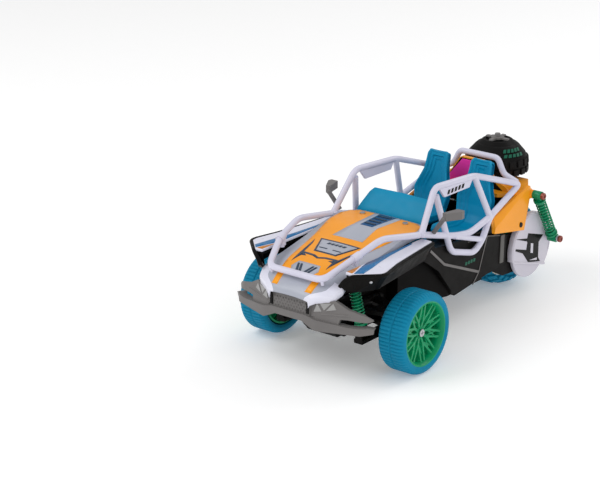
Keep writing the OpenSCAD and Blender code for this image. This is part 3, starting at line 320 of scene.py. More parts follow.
def piece(name, body, shape, materials, replaces=(), smooth=35, bevel=0.0, solid=0.0,
          both_ways=False, segments=2):
    """Makes an object of a shape, smooths it, and lets it ride on a CAD body.

    A sheet gets its thickness from solid, on its inner side or, with both_ways, on both sides.
    """
    materials = materials if isinstance(materials, list) else [materials]
    mesh = bpy.data.meshes.new(name)
    mesh.from_pydata(shape.verts, [], shape.faces)
    for m in materials:
        mesh.materials.append(m)
    mesh.polygons.foreach_set("material_index", shape.marks)
    clean = bmesh.new()
    clean.from_mesh(mesh)
    bmesh.ops.remove_doubles(clean, verts=clean.verts, dist=1e-6)
    bmesh.ops.recalc_face_normals(clean, faces=clean.faces)
    clean.to_mesh(mesh)
    clean.free()
    mesh.polygons.foreach_set("use_smooth", [True] * len(mesh.polygons))
    mesh.set_sharp_from_angle(angle=math.radians(smooth))
    obj = bpy.data.objects.new(name, mesh)
    bpy.context.scene.collection.objects.link(obj)
    if solid:
        thick = obj.modifiers.new("thickness", "SOLIDIFY")
        thick.thickness = solid * MM
        thick.offset = 0 if both_ways else -1
    if bevel:
        add_bevel(obj, bevel, segments)
    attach(obj, body)
    if replaces:
        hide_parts(*replaces)
    return obj


def add_bevel(obj, width, segments=2):
    """Rounds the sharp edges of an object."""
    soft = obj.modifiers.new("soft_edges", "BEVEL")
    soft.width = width * MM
    soft.segments = segments
    soft.limit_method = "ANGLE"
    soft.angle_limit = math.radians(32)
    soft.harden_normals = True
    soft.use_clamp_overlap = True


def skin(node, material, bevel=0.0):
    """Gives a CAD node its material, and rounds its sharp edges a little."""
    obj = nodes[node]
    obj.data.materials.clear()
    obj.data.materials.append(material)
    obj.data.polygons.foreach_set("material_index", [0] * len(obj.data.polygons))
    if bevel:
        weld = obj.modifiers.new("weld", "WELD")
        weld.merge_threshold = 0.01 * MM
        flat = obj.modifiers.new("flat_faces", "DECIMATE")
        flat.decimate_type = "DISSOLVE"
        flat.angle_limit = math.radians(0.6)
        add_bevel(obj, bevel)


def draped(shape, outline, to_space, cell=3.0):
    """Cuts a flat outline into small cells and lays it on a surface, for films and stickers."""
    cut = bmesh.new()
    cut.faces.new([cut.verts.new((x, y, 0)) for x, y in outline])
    for axis in (0, 1):
        low = min(p[axis] for p in outline)
        high = max(p[axis] for p in outline)
        for i in range(1, int((high - low) / cell) + 1):
            at = [0, 0, 0]
            way = [0, 0, 0]
            at[axis] = low + i * cell
            way[axis] = 1
            geometry = cut.verts[:] + cut.edges[:] + cut.faces[:]
            bmesh.ops.bisect_plane(cut, geom=geometry, plane_co=at, plane_no=way)
    cut.verts.index_update()
    verts = [to_space(v.co.x, v.co.y) for v in cut.verts]
    faces = [tuple(v.index for v in f.verts) for f in cut.faces]
    shape.add(verts, faces)
    cut.free()


# ---- Hood, fenders and nose --------------------------------------------------------------

HOOD_LINE = [(-63.2, 60.4), (-62.6, 62.6), (-60.6, 65.2), (-57, 67.9), (-52, 71), (-48, 73.2), (-43, 75.5),
             (-38, 77.2), (-30, 78.6), (-22, 79.8), (-13, 81), (-4, 82.3), (8, 84.3), (20, 86.5), (28, 87.3),
             (56, 87.3)]
HOOD_EDGE = [(-63.2, 17), (-54.5, 33), (-48, 35.5), (-28, 33.6), (0, 34.5), (42, 36), (51, 33.5), (55.6, 27)]
HOOD_CREASE = [(-63.2, 15), (-48, 18.5), (-22, 22.5), (0, 26), (25, 31), (45, 36)]
FILM = 0.1
LAYER = 0.14


def hood_z(x, y):
    """Height of the hood's outer face: crowned in the middle, falling outside the crease."""
    crease = along(HOOD_CREASE, y)
    crown = 0.7 * (1 - min(1, (x / crease) ** 2))
    fall = max(0, abs(x) - crease) * 0.24
    return along(HOOD_LINE, y) - 0.4 + crown - fall


def on_hood(lift):
    """Lays a point seen from above on the hood, lifted a little."""
    return lambda x, y: mm(x, y, hood_z(x, y) + lift)


def hood():
    """Thin shell with a turned-down edge, white at the two corners of its nose."""
    nose_end = -45.5
    corner_cells = 8
    shell = Shape()
    rows = []
    ys = sorted(set([y for y, z in HOOD_LINE[:-1]] + steps(-56, 55.6, 45)))
    across = [math.sin(math.pi / 2 * u) for u in steps(-1, 1, 28)]
    for y in ys:
        half = along(HOOD_EDGE, y)
        top = [mm(half * u, y, hood_z(half * u, y)) for u in across]
        edge_z = hood_z(half, y)
        skirt = [(half + 0.3, edge_z - 1.2), (half + 0.5, edge_z - 4.5)]
        left = [mm(x, y, z) for x, z in skirt]
        right = [mm(-x, y, z) for x, z in reversed(skirt)]
        rows.append(right + top + left)
    nose_rows = sum(1 for y in ys if y < nose_end)
    width = len(rows[0])

    def mark(i, j):
        at_side = j < corner_cells or j > width - 2 - corner_cells
        return 1 if i < nose_rows - 1 and at_side else 0

    shell.grid(rows, mark_of=mark)
    piece("hood_shell", "chassis", shell, [SILVER, WHITE], ["hood"], solid=1.5)


def hood_films():
    """The coloured fields of the hood, each on top of the one before."""
    outer = [(12.2, -60.5), (17.6, -60), (18.6, -48), (22.5, -24), (27, 0), (31, 16), (34.3, 30), (34.8, 42),
             (32, 50.5), (26.5, 54.4)]
    orange = mirrored(outer) + [(-13, -48.2), (13, -48.2)]
    films = Shape()
    draped(films, orange, on_hood(LAYER))
    piece("hood_orange", "chassis", films, ORANGE, solid=FILM)

    pale = Shape()
    draped(pale, mirrored([(8, -50.5), (12, -44.6), (9.6, -38.8)]), on_hood(2 * LAYER))
    draped(pale, mirrored([(8.6, -20.6), (15.9, -4.6)]), on_hood(3 * LAYER))
    draped(pale, mirrored([(13.5, 4.5), (10.2, 26.6), (12, 54)]), on_hood(2 * LAYER))
    piece("hood_pale_fields", "chassis", pale, SILVER, solid=FILM)

    dark = Shape()
    draped(dark, mirrored([(9.8, -22.3), (17.9, -3)]), on_hood(2 * LAYER))
    for side in (1, -1):
        stroke = [(15.4, -40.5), (21.4, -5.5), (18.6, -12), (15.2, -26.8), (9.8, -30.6), (13.8, -31.4)]
        draped(dark, [(side * x, y) for x, y in stroke], on_hood(2 * LAYER))
        chevron = [(15.8, -28), (15.4, -25.8), (5, -26.8), (0, -29), (0, -31.2), (5.2, -29)]
        draped(dark, [(side * x, y) for x, y in chevron], on_hood(2 * LAYER))
        slash = [(1.2, -47.6), (3.4, -47.6), (6.2, -41), (4.4, -41)]
        for shift in (0, 2.7):
            draped(dark, [(side * (x + shift), y) for x, y in slash], on_hood(3 * LAYER))
        bar = [(2.5, -16.5), (9.5, -16.5), (9.9, -15.3), (2.5, -15.3)]
        draped(dark, [(side * x, y) for x, y in bar], on_hood(4 * LAYER))
    for x in (-8, -4.6, -1.2, 2.2, 5.6):
        draped(dark, [(x, -9.6), (x + 2.4, -9.6), (x + 3.2, -7), (x + 0.8, -7)], on_hood(4 * LAYER))
    piece("hood_dark_marks", "chassis", dark, NAVY, solid=FILM)

    vent = Shape()
    draped(vent, mirrored([(5.4, 27), (7.6, 54)]), on_hood(3 * LAYER))
    piece("hood_vent_field", "chassis", vent, VENT_BLUE, solid=FILM)
    slats = Shape()
    for y in (32, 38, 44, 50):
        half = along([(27, 4.2), (54, 6.2)], y)
        slats.prism(mirrored([(half, y - 1.2), (half, y + 1.2)]), on_hood(0.3), on_hood(1.1))
    piece("hood_vent_slats", "chassis", slats, NAVY, bevel=0.25)


FENDER_LOW, FENDER_TOP = heights("fender_left")
FENDER = [(37.2, -46.6), (42.8, -47.4), (57.2, -33), (58, -28), (53.2, -8), (46.6, 44), (37.4, 44)]
ARCH_LIP = [(43.2, -48), (58.6, -33), (59.3, -28), (54.5, -8), (47.6, 43.6)]


def fender(name, side):
    """White plate over the wheel, falling a little to its outer edge, with a blue and a brown stripe."""

    def on_fender(lift):
        def place(x, y):
            fall = 0.05 * max(0, x - 42)
            return mm(side * x, y, FENDER_TOP - 0.25 - fall + lift)

        return place

    plate = Shape()
    plate.prism(FENDER, lambda x, y: mm(side * x, y, FENDER_LOW), on_fender(0))
    piece(f"fender_plate_{name}", "chassis", plate, WHITE, [f"fender_{name}"], bevel=0.7,
          segments=3)
    blue = Shape()
    stripe = [(43.9, -45.6), (48.6, -40.9), (46.6, -28), (43.8, -15), (41.8, -2), (40.6, 12), (39.4, 30),
              (37.8, 30), (37.8, -23), (39.5, -30.2)]
    draped(blue, stripe, on_fender(0.12), 4)
    piece(f"fender_blue_{name}", "chassis", blue, BLUE, solid=FILM)
    brown = Shape()
    stripe = [(37.8, -45.6), (42.4, -46), (42, -42.6), (39.2, -34), (37.8, -29)]
    draped(brown, stripe, on_fender(0.12), 4)
    piece(f"fender_brown_{name}", "chassis", brown, BROWN, solid=FILM)


def arch_lip(name, side):
    """Round black edge under the fender, which ends in a small brow at the nose, and its screw."""
    lip = Shape()
    edge = [mm(side * 35.5, -50.5, 71.5), mm(side * 38.5, -50, 76)]
    edge += [mm(side * x, y, FENDER_LOW + 0.2) for x, y in ARCH_LIP]
    lip.tube(rounded(edge, 3), 1.5 * MM, 10)
    brow = [(35.5, -50.5, 71.5), (38.5, -50, 76), (43, -48, 79), (43, -44, 67), (37, -44, 66)]
    lip.prism(brow, lambda x, y, z: mm(side * x, y, z), lambda x, y, z: mm(side * x, y + 2, z))
    piece(f"arch_lip_{name}", "chassis", lip, BLACK)
    screw = Shape()
    screw_r = 1.3
    dome = [(screw_r * math.sin(a), screw_r * math.cos(a)) for a in steps(-math.pi / 2, math.pi / 2, 8)]
    screw.lathe(dome, mm(side * 52, -36.9, 74.9), 20)
    piece(f"arch_screw_{name}", "chassis", screw, STEEL)


# ---- Bumper -----------------------------------------------------------------------------


def bumper_front(x):
    """How far forward the bumper's front reaches, swept back towards its tips."""
    return along([(0, -63.4), (22, -63.2), (53, -52.2), (58.5, -46.5), (62, -45)], abs(x))


def bumper():
    """Low bar under two swept wings, with a slot between each wing and the bar's end."""
    low_bar = mirrored([(0, 44.4), (12.1, 44.4), (22.3, 39.5), (53, 39.5), (59, 41), (60.3, 43.8), (56, 45),
                        (44, 44.8), (38, 45.6), (24, 47.2), (15, 49.4), (0, 49.4)])
    bar = Shape()
    draped(bar, low_bar, lambda x, z: mm(x, bumper_front(x) + 3.2, z), 2.5)
    piece("bumper_bar", "chassis", bar, GREY, ["front_bumper"], solid=6.2, both_ways=True,
          bevel=0.8, segments=3)

    def wing_face(x, z):
        return bumper_front(x) + 4.2 + (z - 46) * 0.16

    wings = Shape()
    for side in (1, -1):
        wing = [(17, 46.5), (24, 45.6), (37.5, 45.2), (38.6, 49), (44, 49.2), (56, 48.4), (58.5, 49.6),
                (54, 53.4), (43, 56.4), (34, 61.4), (26, 60), (17, 59.2)]
        draped(wings, [(side * x, z) for x, z in wing], lambda x, z: mm(x, wing_face(x, z), z), 2.5)
    piece("bumper_wings", "chassis", wings, GREY, solid=4.4, both_ways=True, bevel=0.8,
          segments=3)
    ridge = Shape()
    for side in (1, -1):
        line = [(19, 49.4), (30, 51.8), (44, 52.4), (56, 49.6)]
        ridge.tube([mm(side * x, wing_face(x, z) - 2.0, z) for x, z in line], 0.9 * MM, 8)
    piece("bumper_ridges", "chassis", ridge, GREY)

    lamps = Shape()
    facets = [[(20.5, 52.6), (26.2, 53.6), (22.6, 58.8)], [(29, 54.2), (36, 55.8), (33.6, 60)],
              [(24.2, 59), (27.6, 54.4), (32.2, 59.8)]]
    for side in (1, -1):
        for facet, reach in zip(facets, (2.9, 2.9, 2.5)):
            lamps.prism([(side * x, z) for x, z in facet], lambda u, w: mm(u, wing_face(u, w), w),
                        lambda u, w: mm(u, wing_face(u, w) - reach, w))
    piece("headlamp_facets", "chassis", lamps, LAMP_GREY, bevel=0.2)


def grille():
    """Leaning panel between the wings, with rows of small triangles and a dark pocket at each end."""
    foot = 47

    def lean(z):
        return (z - foot) * 0.1

    panel = Shape()
    draped(panel, mirrored([(17.4, foot), (17.4, 59.2)]), lambda x, z: mm(x, -60.4 + lean(z), z), 4)
    piece("bumper_grille_panel", "chassis", panel, GREY, solid=3, both_ways=True, bevel=0.5)
    holes = Shape()
    pitch = 2.5
    for row in range(4):
        for i in range(-6, 7):
            x = (i + (row % 2) / 2) * pitch
            z = 50.6 + row * 2.1
            up = 0.64 if i % 2 else -0.64
            triangle = [(x - 0.7, z - up), (x + 0.7, z - up), (x, z + up)]
            holes.prism(triangle, lambda u, w: mm(u, -61.4, w), lambda u, w: mm(u, -62.1 + lean(w), w))
    piece("grille_triangles", "chassis", holes, PILLAR)
    pockets = Shape()
    for side in (1, -1):
        pocket = [(14.8, 50.4), (17.2, 50.4), (17.2, 58.6), (15.6, 58.6)]
        pockets.prism([(side * x, z) for x, z in pocket], lambda u, w: mm(u, -61, w),
                      lambda u, w: mm(u, -62.2, w))
    piece("grille_pockets", "chassis", pockets, SATIN_BLACK)


# ---- Roll cage --------------------------------------------------------------------------

TUBE = 2.4
TUBE_SIDES = 18
HOOP_BASE = (40, 39.7, 86)
FRONT_TOP = (36, 61, 115.5)
PEAK = (36, WHEELBASE - 77.5, 112)
HOOP_REAR = (38, WHEELBASE - 16.5, 91)
SILL_FRONT = (42, 78, 75.3)
SILL_REAR = (42, WHEELBASE - 90, 71.5)
DOOR_MID = (41.5, WHEELBASE - 62.5, 77)
LOOP_FRONT = (43.5, 73, 64.5)
LOOP_REAR = (43.5, WHEELBASE - 86, 55.3)
LOOP_POST = (43.2, WHEELBASE - 74.5, 62.5)
SCREEN_POST = (36.6, 61.9, 109.5)
SILL_BRACE = (42.4, 79, 74.5)


def run(side, *points):
    """Left-hand points of the cage, on either side of the car."""
    return [mm(side * x, y, z) for x, y, z in points]


def front_cage():
    """Bull bar from the door hoops down to the nose, with its feet and two clamps."""
    bars = Shape()
    half = [(39.8, 36.6, 86.5), (37.4, -5, 94.2), (34, -30, 87), (24, -55, 74.7)]
    loop = run(1, *half) + list(reversed(run(-1, *half)))
    bars.tube(rounded(loop, 7), TUBE * MM, TUBE_SIDES)
    for side in (1, -1):
        bars.tube(run(side, (32.3, -30, 80.2), (32.6, -30, 86)), 1.8 * MM)
        bars.tube(run(side, (22.5, -53.2, 70.7), (22.8, -54.2, 74)), 1.2 * MM)
        clamp = run(side, (33.1, -32.3, 85.9), (34.5, -26.4, 87.8))
        bars.tube(clamp, (TUBE + 0.7) * MM, TUBE_SIDES)
        bars.box(mm(side * 32.8, -29.4, 83.6), (3.4, 4.4, 5))
    piece("front_cage_tubes", "chassis", bars, CAGE, ["front_cage"])


def door_hoop(name, side):
    """Door frame with its lower loop, cross bars, foot washer and a plate with five slanted marks."""
    bars = Shape()
    ring = run(side, HOOP_BASE, FRONT_TOP, PEAK, HOOP_REAR, DOOR_MID, LOOP_POST, LOOP_REAR, LOOP_FRONT,
               SCREEN_POST)
    bars.tube(rounded(ring, 6), TUBE * MM, TUBE_SIDES)
    bars.tube(rounded(run(side, HOOP_BASE, SILL_FRONT, SILL_REAR, DOOR_MID), 8), TUBE * MM, TUBE_SIDES)
    bars.tube(run(side, PEAK, DOOR_MID), TUBE * MM, TUBE_SIDES)
    bars.tube(run(side, SILL_BRACE, LOOP_POST), TUBE * 0.85 * MM, TUBE_SIDES)
    washer = [(-1.2, 0.1), (-1.2, 3.2), (1.2, 3.2), (1.2, 0.1)]
    bars.lathe(washer, run(side, HOOP_BASE)[0], 24, axis="Z")
    piece(f"door_hoop_tubes_{name}", "chassis", bars, CAGE, [f"door_hoop_{name}"])
    plate = Shape()
    front_y, peak_y = FRONT_TOP[1], PEAK[1]
    outline = [(front_y + 5, 113.5), (front_y + 12, 105.2), (peak_y - 7, 104.8), (peak_y - 2.5, 111)]
    plate.prism(outline, lambda y, z: mm(side * 35, y, z), lambda y, z: mm(side * 37, y, z))
    piece(f"door_plate_{name}", "chassis", plate, CAGE, bevel=0.4, segments=3)
    marks = Shape()
    for i in range(5):
        y = front_y + 15 + i * 4.6
        bar = [(y, 106.6), (y + 2.8, 106.6), (y + 4, 109.8), (y + 1.2, 109.8)]
        marks.prism(bar, lambda u, w: mm(side * 36.9, u, w), lambda u, w: mm(side * 37.15, u, w))
    piece(f"door_plate_marks_{name}", "chassis", marks, SATIN_BLACK)


def rear_hoop():
    """Hoop behind the seats, between the ends of the door hoops."""
    bars = Shape()
    y = HOOP_REAR[1]
    half = [(35.6, y, 91.8), (23.5, y, 96), (17.5, y, 108)]
    loop = run(1, *half) + list(reversed(run(-1, *half)))
    bars.tube(rounded(loop, 3.5), TUBE * MM, TUBE_SIDES)
    piece("rear_hoop_tubes", "chassis", bars, CAGE, ["rear_hoop"])


# ---- Wheels -----------------------------------------------------------------------------


def front_tyre(name, side):
    """Rounded road tyre whose tread is cut into four bands of fine cross ribs."""
    half = half_width(f"front_tyre_{name}")
    middle = mm(side * TRACK / 2, 0, FRONT_R)
    lip = 24.3
    shoulder = 4.2
    tread_half = half - shoulder

    def shoulder_arc(angle):
        """Radius and reach past the tread at an angle of the shoulder's round."""
        a = math.radians(angle)
        return FRONT_R - shoulder + shoulder * math.sin(a), shoulder * math.cos(a)

    profile = [(lip - 0.9, -half + 1.2), (lip, -half + 0.5), (lip + 1.2, -half)]
    for r, reach in map(shoulder_arc, range(0, 91, 15)):
        profile.append((r, -tread_half - reach))
    profile += [(FRONT_R, x) for x in steps(-tread_half, tread_half, 18)[1:-1]]
    for r, reach in map(shoulder_arc, range(90, -1, -15)):
        profile.append((r, tread_half + reach))
    profile += [(lip + 1.2, half), (lip, half - 0.5), (lip - 0.9, half - 1.2)]

    ribs = 66
    slices = ribs * 4
    rib_depth = 0.8
    groove_depth = 1.0
    rows = []
    for i in range(slices):
        a = 2 * math.pi * i / slices
        row = []
        for r, x in profile:
            band = (x + tread_half) / (2 * tread_half) * 4
            on_tread = r > FRONT_R - 1.6
            in_groove = on_tread and abs(band - round(band)) < 0.09 and 0.5 < band < 3.5
            between_ribs = on_tread and i % 4 == 0
            low = r - (groove_depth if in_groove else rib_depth if between_ribs else 0)
            row.append(middle + Vector((side * x, low * math.cos(a), low * math.sin(a))) * MM)
        rows.append(row)
    rows.append(rows[0])
    tyre = Shape()
    tyre.grid(rows)
    tyre.grid([[row[0], row[-1]] for row in rows])
    piece(f"front_tyre_tread_{name}", f"{name}_wheel", tyre, TYRE, [f"front_tyre_{name}"],
          smooth=50)


def spoke_bar(shape, middle, side, start, end, width, depth):
    """A tapered spoke between two places on the wheel's face, each a radius, an angle and an outward x."""
    (r0, a0, x0), (r1, a1, x1) = start, end
    root = Vector((0, r0 * math.cos(a0), r0 * math.sin(a0)))
    tip = Vector((0, r1 * math.cos(a1), r1 * math.sin(a1)))
    across = (tip - root).normalized().cross(Vector((1, 0, 0)))
    verts = []
    for p, x, w in ((root, x0, width), (tip, x1, width * 0.8)):
        for face, k in ((x - depth, 1.0), (x, 0.55)):
            for s in (-1, 1):
                q = p + across * s * w / 2 * k
                verts.append(middle + Vector((side * face, q.y, q.z)) * MM)
    shape.add(verts, BLOCK_FACES)


def front_rim(name, side):
    """Deep rim with ten forked spokes over a lattice of crossing bars, and a thin web behind them."""
    middle = mm(side * TRACK / 2, 0, FRONT_R)
    half = half_width(f"front_tyre_{name}")
    outer = half - 0.9
    hub_x = half - 6
    lip = 24.1
    spoke_r = 22
    rim = Shape()

    def turned(profile, segments):
        rim.lathe([(side * x, r) for x, r in profile + [profile[0]]], middle, segments)

    turned([(-half + 1.6, 20.9), (-half + 1.6, 22.4), (outer - 1.8, 22.4), (outer - 1.4, lip),
            (outer, lip - 0.3), (outer, lip - 1.4), (outer - 1.4, 21.6), (outer - 4.2, 20.8)], 96)
    spokes = 10
    for i in range(spokes):
        a = 2 * math.pi * i / spokes
        spoke_bar(rim, middle, side, (3.2, a, hub_x), (12, a, hub_x + 0.9), 3.4, 4.5)
        for lean in (-13, 13):
            tip = (spoke_r, a + math.radians(lean), outer - 2.2)
            spoke_bar(rim, middle, side, (8.5, a, hub_x + 0.6), tip, 3.0, 4.5)
        for lean in (-28, 28):
            tip = (spoke_r, a + math.radians(lean), outer - 3.2)
            spoke_bar(rim, middle, side, (8.5, a, hub_x - 0.4), tip, 2.4, 3.8)
    turned([(hub_x - 6.5, 4.4), (hub_x - 4.8, 21.6), (hub_x - 6, 21.6), (hub_x - 7.7, 4.4)], 64)
    turned([(hub_x - 8, 1.7), (hub_x - 8, 4.6), (hub_x + 0.2, 4.6), (hub_x + 0.6, 4.0), (hub_x + 0.1, 3.2),
            (hub_x + 0.1, 1.7)], 32)
    piece(f"front_rim_lattice_{name}", f"{name}_wheel", rim, GREEN, [f"front_rim_{name}"],
          smooth=30)
    skin(f"wheel_screw_{name}", STEEL, 0.15)


def rear_tyre():
    """Wide tyre with a round crown, five staggered rows of chunky blocks and a row on each shoulder."""
    middle = mm(0, WHEELBASE, REAR_R)
    half = 27
    bead = 23.6
    carcass_r = REAR_R - 2.2

    def crown(x):
        """Radius of the carcass at a distance from the middle of the tread."""
        share = min(1, abs(x) / half)
        return carcass_r - 12 * (1 - math.sqrt(1 - share ** 3.2))

    profile = [(x * 0.985, max(bead, crown(x))) for x in steps(-half, half, 28)[1:-1]]
    side_wall = [(half - 0.2, bead + 0.4), (half - 1.2, 22.6)]
    profile = [(-x, r) for x, r in reversed(side_wall)] + profile + side_wall
    tyre = Shape()
    tyre.lathe(profile + [profile[0]], middle, 120)
    count = 26

    def block(x, r, turn_share, tilt, size):
        turn = Matrix.Rotation(2 * math.pi * turn_share / count, 3, "X")
        out = turn @ Vector((0, 0, r))
        tyre.box(middle + Vector((x, out.y, out.z)) * MM, size, turn @ Matrix.Rotation(tilt, 3, "Y"))

    for x, width, shift in ((-19.5, 7.2, 0), (-9.8, 7, 0.5), (0, 7, 0), (9.8, 7, 0.5), (19.5, 7.2, 0)):
        tilt = math.copysign(0.42, x) if abs(x) > 15 else 0
        for i in range(count):
            block(x, crown(x) + 0.5, i + shift, tilt, (width, 5.2, 3))
    for side in (1, -1):
        for i in range(count):
            block(side * 24.6, 29.2, i + 0.5, side * 1.0, (4.4, 4.2, 2))
    piece("rear_tyre_blocks", "rear_wheel", tyre, TYRE, ["rear_tyre"], bevel=0.35, smooth=40)
    skin("rear_rim", GREEN, 0.2)
    skin("drive_axle", STEEL)


SPARE_Y = (centre("spare_wheel").y - FRONT_Y) / MM
SPARE_LOW, SPARE_HIGH = heights("spare_wheel")
SPARE_R = half_width("spare_wheel")


def spare():
    """Knobbly spare tyre lying on the deck, with a stepped crown up to its clamp."""
    middle = mm(0, SPARE_Y, SPARE_LOW)
    height = SPARE_HIGH - SPARE_LOW
    r = SPARE_R - 1.3
    shoulder = [(17, r - 1.8), (19.5, r - 4), (22.5, r - 6.6), (24, r - 8.4)]
    profile = [(0, 0.1), (0, r - 5), (2, r - 1.6), (5, r - 0.3), (9, r), (14, r - 0.4)] + shoulder
    profile += [(24.2, r - 9.6), (25.6, r - 11), (height, r - 12.6), (height, 9.4), (height - 1, 8.6),
                (height - 1, 0.1)]
    tyre = Shape()
    tyre.lathe(profile, middle, 96, axis="Z")
    count = 20
    for i in range(count):
        for z, radius, tilt, shift, tall in ((4.6, r - 0.2, 0.0, 0, 5), (11.4, r - 0.3, -0.1, 0.5, 5.4)):
            turn = Matrix.Rotation(2 * math.pi * (i + shift) / count, 3, "Z")
            spot = middle + turn @ Vector((radius, 0, z)) * MM
            tyre.box(spot, (2.4, 5.4, tall), turn @ Matrix.Rotation(tilt, 3, "Y"))
    piece("spare_tyre", "chassis", tyre, SPARE, ["spare_wheel"], bevel=0.4, smooth=32)
    marks = Shape()
    for i in range(5):
        a = math.radians(-44 + i * 10)
        b = a + math.radians(7)
        raised = Vector((math.cos(a), math.sin(a), 1)) * 0.25 * MM
        for z0, z1, reach in ((17.2, 19.2, 0.4), (20.4, 22.6, 0.5)):
            r0 = along(shoulder, z0) + reach
            r1 = along(shoulder, z1) + reach
            corners = [(r0, a, z0), (r0, b, z0), (r1, b + 0.05, z1), (r1, a + 0.05, z1)]
            quad = [middle + Vector((q * math.cos(t), q * math.sin(t), z)) * MM for q, t, z in corners]
            marks.prism([(p,) for p in quad], lambda p: p, lambda p: p + raised)
    piece("spare_marks", "chassis", marks, MARK_GREEN)
    skin("spare_clamp", GREY, 0.3)


# ---- Cockpit ----------------------------------------------------------------------------


def seat(name):
    """Moulded bucket seat: a cushion and a tall back that narrows at the head, with stepped edges."""
    x0 = centre(f"seat_{name}").x / MM
    low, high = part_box(f"seat_{name}")
    y_back = (high.y - FRONT_Y) / MM - 5
    floor = low.z / MM
    # Along the seat from its front edge up to the head: y, z, half width, height of the side bolsters
    line = [(y_back - 46.5, floor + 2, 13, 0.5), (y_back - 46.8, floor + 6.5, 13.8, 1),
            (y_back - 44, floor + 8.4, 14.2, 2), (y_back - 34, floor + 7, 14.3, 3.4),
            (y_back - 20, floor + 5.6, 14.3, 3.8), (y_back - 12.5, floor + 6.5, 14.3, 3.8),
            (y_back - 9.5, floor + 11, 14.3, 4), (y_back - 7, floor + 18, 15.4, 4.2),
            (y_back - 6, 84, 15.8, 4.2), (y_back - 5, 88, 14.4, 4), (y_back - 4, 93, 12.4, 3.2),
            (y_back - 3, 98, 10.8, 2), (y_back - 2, 104, 10, 1.4), (y_back - 0.6, 110.6, 9.6, 1),
            (y_back + 0.8, 113, 8.6, 0.6), (y_back + 2.4, 113.4, 7.4, 0.2)]
    lengths = [0]
    for (ya, za, _, _), (yb, zb, _, _) in zip(line, line[1:]):
        lengths.append(lengths[-1] + math.hypot(yb - ya, zb - za))
    total = lengths[-1]
    tables = [list(zip(lengths, column)) for column in zip(*line)]

    def section(t):
        return [along(table, t) for table in tables]

    def terrace(d):
        """Steps that follow the edge of the seat, d being the distance from it."""
        levels = [(0, 1.2), (0.8, 0), (2.3, 0), (2.7, 1), (4.6, 1), (5, 2), (7, 2), (7.4, 2.9), (40, 2.9)]
        return -along(levels, d)

    rows = []
    for t in steps(0, total, 110):
        y, z, half, bolster = section(t)
        ya, za, _, _ = section(max(0, t - 1.5))
        yb, zb, _, _ = section(min(total, t + 1.5))
        way = Vector((0, yb - ya, zb - za)).normalized()
        normal = Vector((0, -way.z, way.y))
        row = []
        for u in steps(-1, 1, 46):
            edge = min((1 - abs(u)) * half, (total - t) * 0.8, t * 0.8)
            lift = bolster * abs(u) ** 2.2 + terrace(edge)
            p = Vector((x0 + half * u, y, z)) + normal * lift
            row.append(mm(*p))
        rows.append(row)
    shell = Shape()
    shell.grid(rows)
    obj = piece(f"bucket_seat_{name}", "chassis", shell, CYAN, [f"seat_{name}"], solid=-4.2,
                smooth=45)
    obj.modifiers["thickness"].offset = 1 if side_up(obj) else -1


def side_up(obj):
    """Whether a sheet looks up and ahead on the whole, so that its thickness goes the other way."""
    total = sum((f.normal * f.area for f in obj.data.polygons), Vector())
    return total.z - total.y > 0


def dash_face(x, z):
    """The dash stands upright at its foot and leans back above."""
    return mm(x, 1.3 + along([(66, 56.6), (86.5, 56.6), (89, 58), (99, 67), (101.5, 71)], z), z)


def cockpit():
    """Dash panel, liner, and the bulkhead behind the seats with its pink and black fields."""
    dash = Shape()
    outline = [(31.2, 67), (31, 86), (26.6, 98), (24.4, 100.6), (0, 101)]
    draped(dash, mirrored(outline), dash_face, 2)
    piece("dash_panel", "chassis", dash, CYAN, ["dashboard"], solid=2.4, both_ways=True,
          bevel=0.7, segments=3)
    skin("cockpit_liner", SATIN_BLACK, 0.4)
    bulkhead_y = HOOP_REAR[1] - 9

    def on_bulkhead(lift):
        return lambda x, z: mm(x, bulkhead_y - lift, z)

    pink = Shape()
    pink.prism([(-27, 83), (-9, 104.8), (1, 104.8), (-8, 83)], on_bulkhead(0), on_bulkhead(0.8))
    piece("bulkhead_pink_panel", "chassis", pink, PINK, bevel=0.25)
    black = Shape()
    field = mirrored([(38.4, 70.2), (38.4, 79.4), (29, 85), (20, 92), (10.5, 105.5)])
    black.prism(field, on_bulkhead(-0.05), on_bulkhead(0.3))
    piece("bulkhead_black_field", "chassis", black, SATIN_BLACK)


# ---- Side panels and rear body ------------------------------------------------------------


def strip(shape, side, x, points, width, height):
    """A flat raised line on a side panel, along a run of (y, z) points."""
    left, right = [], []
    for i, (y, z) in enumerate(points):
        y0, z0 = points[max(0, i - 1)]
        y1, z1 = points[min(len(points) - 1, i + 1)]
        n = Vector((-(z1 - z0), y1 - y0)).normalized() * width / 2
        left.append((y + n.x, z + n.y))
        right.append((y - n.x, z - n.y))
    shape.prism(left + right[::-1], lambda u, w: mm(side * x, u, w),
                lambda u, w: mm(side * (x + height), u, w))


def side_panel(name, side):
    """Black side panel with its grey lines, its pillar and four small green marks."""
    skin(f"side_panel_{name}", BLACK, 0.5)
    face = 40.4
    lines = Shape()
    strip(lines, side, face, [(51, 70.5), (69.5, 55), (116, 35.9)], 2.0, 0.45)
    strip(lines, side, face, [(108, 27.5), (116, 35.9), (126, 61.5)], 0.9, 0.45)
    piece(f"side_grey_lines_{name}", "chassis", lines, GREY, bevel=0.15)
    pillar = Shape()
    strip(pillar, side, face, [(147, 34.5), (147.5, 57)], 5, 0.8)
    strip(pillar, side, face, [(100, 64), (127, 61.5), (144, 57.5)], 0.9, 0.4)
    piece(f"side_pillar_{name}", "chassis", pillar, PILLAR, bevel=0.25)
    marks = Shape()
    for i in range(4):
        y = 97 + i * 3.6
        bar = [(y, 46.4), (y + 2.4, 45.9), (y + 3.2, 48.3), (y + 0.8, 48.8)]
        marks.prism(bar, lambda u, w: mm(side * face, u, w), lambda u, w: mm(side * (face + 0.2), u, w))
    piece(f"side_green_marks_{name}", "chassis", marks, MARK_GREEN)


